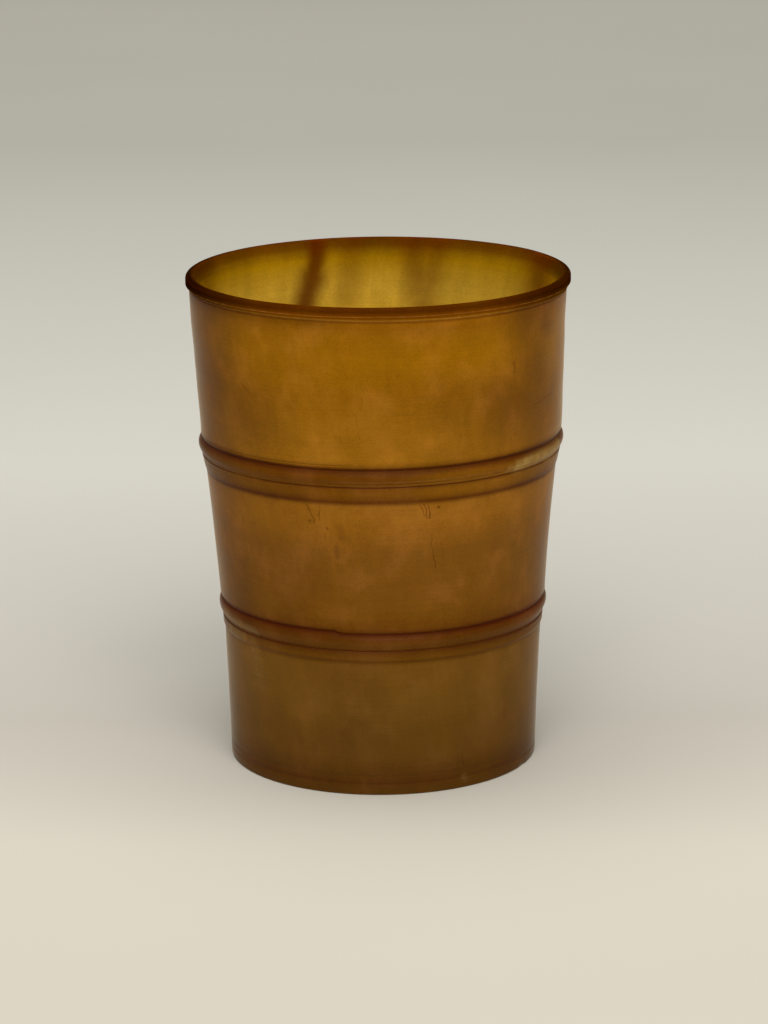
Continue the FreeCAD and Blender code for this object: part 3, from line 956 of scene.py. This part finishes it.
# Dark lengthwise streaks that show inside, in degrees from the back
INNER_STREAKS = [
    Mark(-20.2, 101.5, -22.2, 94.0, 3.8, 0.8, 0.85),
    Mark(-22.2, 94.0, -27.0, 87.0, 5.0, 0.9, 0.85),
    Mark(-27.0, 87.0, -36.5, 20.0, 5.0, 0.95, 0.7),
    Mark(-8.3, 101.0, -10.6, 89.0, 4.8, 1.0, 0.36),
    Mark(12.0, 101.0, 13.8, 91.0, 6.5, 1.0, 0.52),
    Mark(20.5, 101.0, 15.5, 87.0, 5.2, 1.0, 0.48),
    Mark(15.5, 87.0, 6.0, 15.0, 4.5, 1.0, 0.4),
    Mark(68.0, 101.0, 66.0, 84.0, 11.0, 1.0, 0.65),
    Mark(-76.0, 101.0, -78.0, 84.0, 10.0, 1.0, 0.4),
]

# Paler streaks inside, painted light falling through the wall, in degrees from the back
INNER_GLOWS = [
    Mark(-1.0, 92.5, -2.0, 80.0, 7.0, 1.0, 0.8),
    Mark(33.0, 97.5, 29.0, 82.0, 7.0, 1.0, 0.35),
    Mark(-33.0, 96.0, -36.0, 84.0, 5.0, 1.0, 1.0),
    Mark(-38.0, 97.0, -42.0, 80.0, 12.0, 1.0, 0.6),
]


class Surface:
    """The places on the beaker that its finish reads: heights in millimetres, angles and sides."""

    def __init__(self, finish, sizes):
        self.finish = finish
        self.top = sizes.height / MM
        self.arris = (sizes.height - sizes.rim_height) / MM
        self.upper_quirk = sizes.upper_quirk_height / MM
        self.lower_quirk = sizes.lower_quirk_height / MM
        self.lower_score = (sizes.lower_quirk_height - sizes.lower_bead_width) / MM
        self.place = finish.node("ShaderNodeTexCoord", out="Object")
        self.level = finish.attribute("level")
        self.inside = finish.attribute("inside")
        self.outside = 1.0 - self.inside
        self.x, y = [finish.node("ShaderNodeSeparateXYZ", None, {0: self.place}, out=axis) for axis in (0, 1)]
        self.aside = finish.calculate("ABSOLUTE", self.x)
        self.front = finish.smooth(y, -20.0 * MM, 0.0, 1.0, 0.0)
        waver = finish.grain(self.place, (0.09, 0.09, 0.22), detail=1.0)
        shake = finish.grain(self.place, (0.8, 0.8, 0.8), detail=2.0, offset=4.0)
        bend = waver.swing(2.0) + shake.swing(1.1)
        sway = waver.swing(1.1) + shake.swing(0.3)
        self.uneven = self.level + shake.swing(0.5)
        from_front = finish.calculate("ARCTAN2", self.x, -y)
        from_back = finish.calculate("ARCTAN2", self.x, y)
        self.front_plan = self.plan(from_front, bend * 0.6)
        self.soft_plan = self.plan(from_front, sway)
        self.back_plan = self.plan(from_back, sway)

    def plan(self, angle, bend):
        """The surface laid flat: millimetres round the beaker and up it."""
        around = angle * SURFACE_RADIUS + bend
        return self.finish.node("ShaderNodeCombineXYZ", None, {0: around, 1: self.level})

    def upwards(self, low, high, at_low=0.0, at_high=1.0):
        """A value that changes between two heights."""
        return self.finish.smooth(self.level, low, high, at_low, at_high)

    def across(self, left, right, at_left=0.0, at_right=1.0):
        """A value that changes from left to right, between two places in millimetres."""
        return self.finish.smooth(self.x, left * MM, right * MM, at_left, at_right)

    def outwards(self, near, far, at_near, at_far):
        """A value that changes from the middle to both sides, between two places in millimetres."""
        return self.finish.smooth(self.aside, near * MM, far * MM, at_near, at_far)

    def line(self, height, width, softness, strength):
        """A line right round the beaker, with uneven edges."""
        away = self.finish.calculate("ABSOLUTE", self.uneven - height)
        half = width / 2
        return self.finish.smooth(away, half * (1 - softness), half * (1 + softness), strength, 0.0)

    def mark(self, plan, mark):
        """A stroke on the flat plan, at its full strength along its middle and 0 outside it."""
        finish = self.finish
        start = Vector((math.radians(mark.start_angle) * SURFACE_RADIUS, mark.start_height, 0.0))
        end = Vector((math.radians(mark.end_angle) * SURFACE_RADIUS, mark.end_height, 0.0))
        way = end - start
        from_start = finish.vector("SUBTRACT", plan, start)
        along = finish.measure("DOT_PRODUCT", from_start, way / way.length_squared)
        held = finish.node("ShaderNodeClamp", None, {"Value": along})
        away = finish.measure("DISTANCE", from_start, finish.scaled(way, held))
        half = mark.width / 2
        inner, outer = half * (1 - mark.softness), half * (1 + mark.softness)
        return finish.smooth(away, inner, outer, mark.strength, 0.0)

    def marks(self, plan, marks):
        """Several strokes together."""
        return self.finish.largest([self.mark(plan, mark) for mark in marks])


def blend(first, second, share):
    """A colour between two others, worked out beforehand."""
    return [one * (1 - share) + other * share for one, other in zip(first, second)]


def stops_from(start, rows, colours):
    """Places and colours, from rows that count from a starting place."""
    stops = []
    for step, name, *mixed_in in rows:
        tone = getattr(colours, name)
        if mixed_in:
            other, share = mixed_in
            tone = blend(tone, getattr(colours, other), share)
        stops.append((start + step, tone))
    return stops


def ramp_along(finish, value, stops):
    """A colour that changes with a value, from the first stop's place to the last one's."""
    low, high = stops[0][0], stops[-1][0]
    shares = [((place - low) / (high - low), tone) for place, tone in stops]
    return finish.node("ShaderNodeValToRGB", {"stops": shares}, {0: (value - low) / (high - low)})


# The wall's colours from the foot up. A row has its height in millimetres from the place that its list is
# named for, a colour's name and, where it is mixed, a second colour's name and share. The sections darken
# towards the foot, partly as painted shade where less light comes through the wall, the grime mixed in at the
# quirks, scored lines and steps is painted shade as well, and a soft painted shadow lies just above each
# quirk.
FROM_TABLE = [
    (0.0, "foot", "lower", 0.15),
    (1.2, "foot"),
    (2.6, "foot", "grime", 0.3),
    (4.5, "foot"),
    (8.0, "foot", "lower", 0.45),
    (13.0, "foot", "lower", 0.6),
    (19.0, "lower"),
]
FROM_LOWER_QUIRK = [
    (-7.0, "lower", "middle", 0.3),
    (-6.1, "lower_strip", "grime", 0.1),
    (-5.3, "lower_strip"),
    (-4.5, "lower_strip", "grime", 0.2),
    (-3.8, "lower_strip", "grime", 0.45),
    (-3.0, "lower_bead"),
    (-2.1, "lower_bead"),
    (-1.3, "lower_bead", "grime", 0.42),
    (-0.7, "lower_bead", "grime", 0.5),
    (0.0, "lower_bead", "grime", 0.85),
    (0.35, "middle_foot", "grime", 0.5),
    (1.1, "middle_foot", "grime", 0.26),
    (3.2, "middle_foot"),
    (5.5, "middle_foot", "middle", 0.45),
]
BELOW_MIDDLE = [
    (-6.0, "middle_foot", "middle", 0.7),
    (0.0, "middle"),
]
FROM_MIDDLE = [(0.0, "middle")]
FROM_UPPER_QUIRK = [
    (-10.5, "middle_top"),
    (-7.6, "middle_top"),
    (-6.6, "upper_strip", "grime", 0.5),
    (-6.0, "upper_strip", "grime", 0.25),
    (-5.2, "upper_strip"),
    (-3.9, "upper_strip"),
    (-3.5, "upper_strip", "grime", 0.4),
    (-3.0, "upper_bead", "upper_strip", 0.6),
    (-1.8, "upper_bead"),
    (-0.7, "upper_bead", "grime", 0.25),
    (0.0, "upper_bead", "grime", 0.5),
    (0.35, "upper_bead", "grime", 0.3),
    (0.8, "upper_foot", "upper_bead", 0.5),
    (1.7, "upper_foot"),
    (7.0, "upper_foot"),
    (14.5, "upper"),
]
FROM_ARRIS = [
    (-8.0, "upper_top"),
    (-4.0, "upper_top", "upper", 0.4),
    (-1.8, "upper", "rim_face", 0.2),
    (-0.7, "upper_top", "rim_face", 0.4),
    (-0.3, "upper_top", "rim_face", 0.7),
    (0.0, "upper_top", "worn", 0.3),
    (0.25, "upper_top", "rim_face", 0.5),
    (0.6, "rim_face"),
    (1.3, "rim_face", "rim", 0.7),
    (1.9, "rim"),
]
FROM_LIP = [
    (-0.4, "rim", "lip", 0.4),
    (0.0, "rim", "lip", 0.8),
]
# The inside's pale honey is painted light falling through the wall.
INSIDE_FROM_TABLE = [
    (0.0, "depth"),
    (30.0, "depth"),
    (65.0, "honey"),
    (91.0, "honey"),
    (97.2, "inner_top"),
    (98.6, "inner_top", "inner_lip", 0.5),
    (99.9, "inner_lip"),
    (101.2, "inner_lip", "rim", 0.5),
]
INSIDE_FROM_LIP = [(0.0, "rim", "lip", 0.7)]


def outer_tones(surface, colours):
    """The outside's colour at each height: three sections and two bands with their quirks and lines, with
    painted shade.
    """
    finish, level = surface.finish, surface.level
    middle = (surface.upper_quirk + surface.lower_quirk) / 2
    lower_stops = stops_from(0.0, FROM_TABLE, colours)
    lower_stops += stops_from(surface.lower_quirk, FROM_LOWER_QUIRK, colours)
    lower_stops += stops_from(middle, BELOW_MIDDLE, colours)
    upper_stops = stops_from(middle, FROM_MIDDLE, colours)
    upper_stops += stops_from(surface.upper_quirk, FROM_UPPER_QUIRK, colours)
    upper_stops += stops_from(surface.arris, FROM_ARRIS, colours)
    upper_stops += stops_from(surface.top, FROM_LIP, colours)
    lower, upper = [ramp_along(finish, level, stops) for stops in (lower_stops, upper_stops)]
    return finish.mixed(finish.calculate("GREATER_THAN", level, middle), lower, upper)


Grains = namedtuple("Grains", "fibres streaks clouds mottle speckle turned patches")


def wall_grains(surface):
    """The noises that the wall's finish is made of. Those along the horn turn a little with the height."""
    finish, place = surface.finish, surface.place
    turn = {"Vector": place, "Angle": surface.level * 0.0045}
    twist = finish.node("ShaderNodeVectorRotate", {"rotation_type": "Z_AXIS"}, turn)
    return Grains(
        fibres=finish.grain(twist, (0.9, 0.9, 0.03), detail=3.0, roughness=0.6),
        streaks=finish.grain(twist, (0.16, 0.16, 0.012), detail=2.0, offset=3.0),
        clouds=finish.grain(place, (0.09, 0.09, 0.1), detail=2.0, offset=7.0),
        mottle=finish.grain(place, (0.5, 0.5, 0.4), detail=4.0, roughness=0.65, offset=11.0),
        speckle=finish.grain(place, (2.6, 2.6, 3.4), detail=3.0, roughness=0.75, offset=5.0),
        turned=finish.grain(place, (0.05, 0.05, 3.0), detail=3.0, roughness=0.8, offset=9.0),
        patches=finish.grain(place, (0.12, 0.12, 0.11), detail=2.0, roughness=0.5, offset=17.0),
    )


def outer_horn(surface, grains, bloom, colours):
    """The outside: amber, with olive patches, darker zones partly of painted shade, streaks and the dull
    bloom.
    """
    finish = surface.finish
    tone = outer_tones(surface, colours)
    tone = finish.mixed(finish.smooth(grains.clouds, 0.46, 0.8) * 0.16, tone, colours.olive)
    # Darker zones, partly darker horn and partly painted shade at the sides and under the rim.
    smudges_and_shade = surface.marks(surface.soft_plan, SMUDGES_AND_SHADE)
    tone = finish.mixed(smudges_and_shade, tone, finish.vector("MULTIPLY", tone, (0.45, 0.38, 0.6)))
    tone = finish.scaled(tone, 1.0 + grains.streaks.swing(0.22) + grains.patches.swing(0.25))
    bloomed = finish.vector("MULTIPLY_ADD", tone, (1.12, 1.1, 1.3), [part * 0.09 for part in colours.bloom])
    return finish.mixed(bloom * 0.7, tone, bloomed)


def scrapes_and_painted_light(surface, grains, tone, colours):
    """The outside's marks and painted light: lighter upper bead in front, painted shade by the rim, scrapes,
    painted highlights.
    """
    finish, upper_quirk = surface.finish, surface.upper_quirk
    # The upper bead is lighter in front, towards the left and the right of the middle.
    upper_bead = surface.line(upper_quirk - 3.4, 5.0, 0.5, 0.42) * surface.front
    bead_lighter_aside = surface.across(-33.0, -14.0, 0.42, 0.0) + surface.across(2.0, 15.0)
    tone = finish.mixed(upper_bead * bead_lighter_aside, tone, colours.upper_foot)
    # Painted shadow under the rim, on the left half of the front.
    under_rim_shadow = surface.line(97.9, 1.5, 1.0, 0.22) * surface.across(-14.0, -2.0, 1.0, 0.0)
    tone = finish.scaled(tone, 1.0 - under_rim_shadow)
    # Painted shade: the rim is darker towards the left and the right.
    rim_side_shade = surface.across(-35.0, -16.0, 0.5, 0.0) + surface.across(16.0, 37.0, 0.0, 0.35)
    tone = finish.scaled(tone, 1.0 - surface.upwards(98.2, 98.8) * rim_side_shade)
    patchy = 0.85 + grains.turned.swing(1.1) + grains.mottle.swing(1.3)
    # Pale patches, partly painted reflections on the bead ends, partly scuffs.
    scrapes_and_reflections = surface.marks(surface.soft_plan, SCRAPES_AND_REFLECTIONS)
    tone = finish.mixed(scrapes_and_reflections * patchy, tone, colours.scrape_and_reflection)
    # Painted highlights: two pale lines on the upper bead, at the edge of its scored line and at a fine
    # turned line, in front only.
    painted_highlight_lines = finish.largest([surface.line(upper_quirk - drop, 0.26, 0.9, 0.17) for drop in (3.15, 2.25)])
    in_front = surface.across(-14.0, -2.0) * surface.across(14.0, 26.0, 1.0, 0.0)
    return finish.mixed(painted_highlight_lines * in_front * surface.front * patchy, tone, colours.worn)


def inner_horn(surface, grains, colours):
    """The inside: honey, painted light where light falls through the wall, with dark lengthwise streaks and
    pale painted ones.
    """
    finish = surface.finish
    stops = stops_from(0.0, INSIDE_FROM_TABLE, colours) + stops_from(surface.top, INSIDE_FROM_LIP, colours)
    tone = ramp_along(finish, surface.level, stops)
    tone = finish.scaled(tone, 1.0 + grains.streaks.swing(0.5) + grains.clouds.swing(0.3))
    glows = surface.marks(surface.back_plan, INNER_GLOWS)
    tone = finish.scaled(tone, 1.0 + glows * 0.16)
    streaks = surface.marks(surface.back_plan, INNER_STREAKS) * surface.upwards(25.0, 90.0, 0.2, 1.0)
    return finish.mixed(streaks, tone, colours.streak)


def grime_and_shade_lines(surface):
    """Old grime and painted shade in the quirks and the scored lines, and at the edges of the rim and the
    strips.
    """
    lines = [
        (surface.arris - 0.35, 0.4, 0.9, 0.45),
        (surface.top - 0.5, 0.5, 0.9, 0.2),
        (surface.upper_quirk - 0.1, 1.3, 0.8, 0.48),
        (surface.upper_quirk - 6.7, 0.7, 0.9, 0.3),
        (surface.lower_quirk, 1.2, 0.8, 0.62),
        (surface.lower_score, 0.8, 0.9, 0.5),
    ]
    return surface.finish.largest([surface.line(*line) for line in lines])


HORN_IOR = 1.54
RELIEF_HEIGHT = 0.03 * MM

# The pale haze that shows where the wall is seen at a grazing angle
HAZE = {"Sheen Weight": 0.28, "Sheen Roughness": 0.25, "Sheen Tint": (1.0, 0.93, 0.75, 1.0)}


def horn_sockets(finish, tone, roughness, relief, gloss, depth_share, depth):
    """What a horn shader's sockets get. Light goes into the horn by about the depth, red furthest."""
    bump = finish.node("ShaderNodeBump", None, {"Strength": 1.0, "Distance": RELIEF_HEIGHT, "Height": relief})
    return {
        "Base Color": tone,
        "Roughness": roughness,
        "IOR": HORN_IOR,
        "Specular IOR Level": gloss,
        "Normal": bump,
        "Subsurface Weight": depth_share,
        "Subsurface Radius": (1.0, 0.42, 0.12),
        "Subsurface Scale": depth,
    }


def wall_horn(colours, sizes):
    """Amber horn: streaks, bloom, grime and painted shade in the mouldings, wear, painted highlights,
    scratches.
    """
    finish = Finish(bpy.data.materials.new("wall_horn"))
    surface = Surface(finish, sizes)
    grains = wall_grains(surface)
    mottle, speckle = grains.mottle, grains.speckle
    at_rim = surface.upwards(98.0, 99.0)
    below_rim = 1.0 - at_rim

    bloom = finish.smooth(grains.patches + mottle.swing(0.15), 0.45, 0.75) * below_rim
    bloom = bloom * surface.upwards(8.0, 36.0, 0.45, 1.0)
    outer = scrapes_and_painted_light(surface, grains, outer_horn(surface, grains, bloom, colours), colours)
    tone = finish.mixed(surface.inside, outer, inner_horn(surface, grains, colours))
    # Painted shade: the rim darkens towards its left and right ends.
    tone = finish.scaled(tone, 1.0 - at_rim * surface.outwards(32.0, 38.5, 0.0, 0.5))
    fine = (mottle.swing(0.28) + speckle.swing(0.75)) * surface.upwards(15.0, 42.0, 0.65, 1.0)
    tone = finish.scaled(tone, 1.0 + grains.fibres.swing(0.14) + grains.turned.swing(0.3) + fine)

    # Grime and painted shade in the lines and hollows of the mouldings; the lines grow stronger towards the
    # left and right.
    lines = grime_and_shade_lines(surface) * surface.outside * surface.outwards(8.0, 28.0, 0.55, 1.0)
    hollows = finish.smooth(finish.attribute("hollow") + mottle.swing(0.5), 0.35, 1.2)
    grime = finish.largest([hollows * 0.62, lines * (0.6 + mottle * 0.8)])
    tone = finish.mixed(grime, tone, colours.grime)
    wear = finish.smooth(finish.attribute("edge") + mottle.swing(0.9), 0.45, 1.15)
    wear = wear * (1.0 - below_rim * 0.6) * (1.0 - surface.inside * 0.8)
    tone = finish.mixed(wear * 0.45, tone, colours.worn)
    scratches = surface.marks(surface.front_plan, SCRATCHES) * surface.outside
    tone = finish.mixed(scratches * (0.2 + speckle * 1.2), tone, colours.grime)
    specks = finish.smooth(speckle, 0.66, 0.74) * finish.smooth(grains.clouds, 0.4, 0.6)
    tone = finish.scaled(tone, 1.0 - specks * 0.3)

    roughness = 0.36 + grains.patches * 0.12 + bloom * 0.1 + grime * 0.45 + speckle.swing(0.1)
    relief = grains.turned * 0.35 + grains.fibres * 0.25 + mottle * 0.6 + speckle * 0.35
    relief = relief - specks * 0.4 - scratches * 1.2
    horn = horn_sockets(finish, tone, roughness, relief, 0.03, 0.35, 3.0 * MM)
    clear = finish.node("ShaderNodeBsdfPrincipled", None, {**horn, "Specular IOR Level": 0.0})
    hazy = finish.node("ShaderNodeBsdfPrincipled", None, {**horn, **HAZE})
    on_wall = surface.outside * below_rim
    return finish.done(finish.node("ShaderNodeMixShader", None, {0: on_wall, 1: clear, 2: hazy}))


def plate_horn(colours, sizes):
    """Duller horn, with its grain across the plate, rings from the tool and grime and painted shade by the
    wall.
    """
    finish = Finish(bpy.data.materials.new("plate_horn"))
    place = finish.node("ShaderNodeTexCoord", out="Object")
    x, y, z = [finish.node("ShaderNodeSeparateXYZ", None, {0: place}, out=axis) for axis in range(3)]
    radius = (x * x + y * y) ** 0.5 / MM
    grain = finish.grain(place, (0.03, 0.4, 0.4), detail=3.0, roughness=0.6)
    clouds = finish.grain(place, (0.07, 0.1, 0.1), detail=2.0, offset=6.0)
    mottle = finish.grain(place, (0.9, 0.9, 0.9), detail=3.0, offset=2.0)
    round_plan = finish.node("ShaderNodeCombineXYZ", None, {0: radius * MM, 2: z})
    rings = finish.grain(round_plan, (2.4, 1.0, 0.2), detail=2.0)
    tone = finish.mixed(finish.smooth(grain, 0.35, 0.7), colours.plate, colours.plate_pale)
    tone = finish.scaled(tone, 0.72 + clouds * 0.3 + rings * 0.22)
    shoulder = (sizes.tongue_radius - sizes.shoulder) / MM
    # Grime and painted shade where the plate meets the wall and in its hollows.
    by_wall = finish.smooth(radius + mottle.swing(1.5), shoulder - 2.6, shoulder - 0.2)
    grime = finish.largest([by_wall, finish.smooth(finish.attribute("hollow"), 0.2, 0.7)])
    tone = finish.mixed(grime * 0.75, tone, colours.grime)
    wear = finish.smooth(finish.attribute("edge") + mottle.swing(0.4), 0.3, 0.8) * (1.0 - grime)
    tone = finish.mixed(wear * 0.4, tone, colours.worn)
    roughness = 0.46 + mottle * 0.12 + grime * 0.16
    relief = rings * 0.7 + grain * 0.3 + mottle * 0.3
    horn = horn_sockets(finish, tone, roughness, relief, 0.06, 0.25, 2.0 * MM)
    return finish.done(finish.node("ShaderNodeBsdfPrincipled", None, horn))


# The stage

Lamp = namedtuple("Lamp", "name place size watts tone")

FLOOR_REACH = 4.0
FLOOR_FLAT = 3.2
FLOOR_RISE = 0.9
FLOOR_STEPS = 64
FLOOR_GAP = 0.3 * MM

# The floor's colours from the camera's side to the back, with painted light and shade: darker beside the
# beaker, lighter further back
FLOOR_TONES = [
    (-0.14, "floor_near"),
    (-0.06, "floor_front"),
    (0.02, "floor_middle"),
    (0.25, "floor_back"),
    (0.85, "floor_far"),
    (1.36, "floor_end"),
]
LAMPS = [
    Lamp("stage_key", (0.08, -0.9, 1.05), 0.9, 13.5, (1.0, 0.98, 0.94)),
    Lamp("stage_top", (-0.1, 0.15, 1.4), 1.2, 9.0, (1.0, 0.99, 0.96)),
]
SOFT_LIGHT = (1.0, 0.985, 0.95, 1.0)
SOFT_LIGHT_STRENGTH = 0.35
SEEN_BY = ("Is Camera Ray", "Is Glossy Ray", "Is Transmission Ray")
SENSOR_WIDTH = 36.0


def floor_finish(stage):
    """A pale floor with painted shade, a little darker behind the beaker, which is seen through from below.
    """
    finish = Finish(bpy.data.materials.new("stage_floor"))
    place = finish.node("ShaderNodeTexCoord", out="Object")
    y = finish.node("ShaderNodeSeparateXYZ", None, {0: place}, out=1)
    tone = ramp_along(finish, y, stops_from(0.0, FLOOR_TONES, stage))
    cloud = finish.grain(place, (0.006, 0.004, 0.004), detail=2.0)
    tone = finish.scaled(tone, 0.97 + cloud * 0.06)
    solid = finish.node("ShaderNodeBsdfDiffuse", None, {"Color": tone})
    clear = finish.node("ShaderNodeBsdfTransparent")
    behind = finish.node("ShaderNodeNewGeometry", out="Backfacing")
    return finish.done(finish.node("ShaderNodeMixShader", None, {0: behind, 1: solid, 2: clear}))


def make_floor(stage, opening):
    """A wide floor that sweeps up all round. It is open under the foot, for light on the underside."""
    bm = bmesh.new()
    outline = [(opening, 0.0, 0.0), (FLOOR_FLAT, 0.0, 0.0), (FLOOR_REACH, 0.0, FLOOR_RISE)]
    verts = [bm.verts.new(place) for place in outline]
    for pair in zip(verts, verts[1:]):
        bm.edges.new(pair)
    spin_round(bm, FLOOR_STEPS, 0.1 * MM)
    bmesh.ops.recalc_face_normals(bm, faces=bm.faces[:])
    if sum(face.normal.z * face.calc_area() for face in bm.faces) < 0:
        bmesh.ops.reverse_faces(bm, faces=bm.faces[:])
    floor = add_mesh("stage_floor", bm, floor_finish(stage))


def add_lamp(lamp):
    """A square soft lamp that faces the middle of the beaker."""
    data = bpy.data.lights.new(lamp.name, "AREA")
    data.shape = "SQUARE"
    data.size = lamp.size
    data.energy = lamp.watts
    data.color = lamp.tone
    made = add_object(lamp.name, data)
    target = (WALL_LOW + WALL_HIGH) / 2
    made.location = lamp.place
    made.rotation_euler = (target - Vector(lamp.place)).to_track_quat("-Z", "Y").to_euler()


def make_world(stage):
    """Soft light from all round, with the plain surroundings where the camera sees past the floor."""
    finish = Finish(bpy.data.worlds.new("stage_world"))
    light = finish.node("ShaderNodeBackground", None, {"Color": SOFT_LIGHT, "Strength": SOFT_LIGHT_STRENGTH})
    seen = finish.node("ShaderNodeBackground", None, {"Color": (*stage.sky, 1.0), "Strength": 1.0})
    looks = [finish.node("ShaderNodeLightPath", out=name) for name in SEEN_BY]
    mix = finish.node("ShaderNodeMixShader", None, {0: finish.largest(looks), 1: light, 2: seen})
    bpy.context.scene.world = finish.done(mix, "ShaderNodeOutputWorld")


def make_camera(stage):
    """The camera, at the photograph's place and angle."""
    data = bpy.data.cameras.new("stage_camera")
    data.lens = stage.lens
    data.sensor_width = SENSOR_WIDTH
    data.clip_start = 0.01
    data.clip_end = 50.0
    camera = add_object("stage_camera", data)
    place = (stage.camera_aside, -stage.camera_distance, stage.camera_height)
    turn = Matrix.Rotation(-stage.camera_yaw, 4, "Z")
    turn @= Matrix.Rotation(math.pi / 2 - stage.camera_pitch, 4, "X")
    turn @= Matrix.Rotation(stage.camera_roll, 4, "Z")
    camera.matrix_world = Matrix.Translation(place) @ turn
    bpy.context.scene.camera = camera


class BEAKER_OT_turn_wall(Operator):
    """Turns the wall, with its rim, bands and foot"""

    bl_idname = "beaker.turn_wall"
    bl_label = "Turn the Wall"

    def execute(self, context):
        settings = context.scene.horn_beaker
        finish = wall_horn(settings.colours, settings.wall)
        new_piece("horn_wall", make_wall_mesh(settings.wall), finish, "cup_wall")
        return {"FINISHED"}


class BEAKER_OT_turn_plate(Operator):
    """Turns the plate that closes the foot"""

    bl_idname = "beaker.turn_plate"
    bl_label = "Turn the Plate"

    def execute(self, context):
        settings = context.scene.horn_beaker
        finish = plate_horn(settings.colours, settings.plate)
        new_piece("horn_plate", make_plate_mesh(settings.plate), finish, "bottom_disc")
        return {"FINISHED"}


class BEAKER_OT_set_stage(Operator):
    """Sets the floor, the lamps and the camera"""

    bl_idname = "beaker.set_stage"
    bl_label = "Set the Stage"

    def execute(self, context):
        stage = context.scene.horn_beaker.stage
        wall = context.scene.horn_beaker.wall
        make_floor(stage, section_feet(wall)[-1] - wall.foot_rounding - FLOOR_GAP)
        make_world(stage)
        for lamp in LAMPS:
            add_lamp(lamp)
        make_camera(stage)
        context.scene.view_settings.view_transform = "Standard"
        return {"FINISHED"}


class VIEW3D_PT_horn_beaker(Panel):
    """The beaker's sizes, colours and stage"""

    bl_label = "Horn Beaker"
    bl_space_type = "VIEW_3D"
    bl_region_type = "UI"
    bl_category = "Beaker"

    def draw(self, context):
        settings = context.scene.horn_beaker
        for operator, group in (
            (BEAKER_OT_turn_wall, settings.wall),
            (BEAKER_OT_turn_plate, settings.plate),
            (BEAKER_OT_set_stage, settings.stage),
        ):
            box = self.layout.box()
            box.operator(operator.bl_idname)
            for name in group.__annotations__:
                box.prop(group, name)
        box = self.layout.box()
        for name in settings.colours.__annotations__:
            box.prop(settings.colours, name)


CLASSES = (
    WallSizes,
    PlateSizes,
    HornColours,
    StageSettings,
    BeakerSettings,
    BEAKER_OT_turn_wall,
    BEAKER_OT_turn_plate,
    BEAKER_OT_set_stage,
    VIEW3D_PT_horn_beaker,
)


def register():
    for item in CLASSES:
        bpy.utils.register_class(item)
    bpy.types.Scene.horn_beaker = PointerProperty(type=BeakerSettings)


def unregister():
    del bpy.types.Scene.horn_beaker
    for item in reversed(CLASSES):
        bpy.utils.unregister_class(item)


def main():
    register()
    bpy.ops.beaker.turn_wall()
    bpy.ops.beaker.turn_plate()
    bpy.ops.beaker.set_stage()


if __name__ == "__main__":
    main()
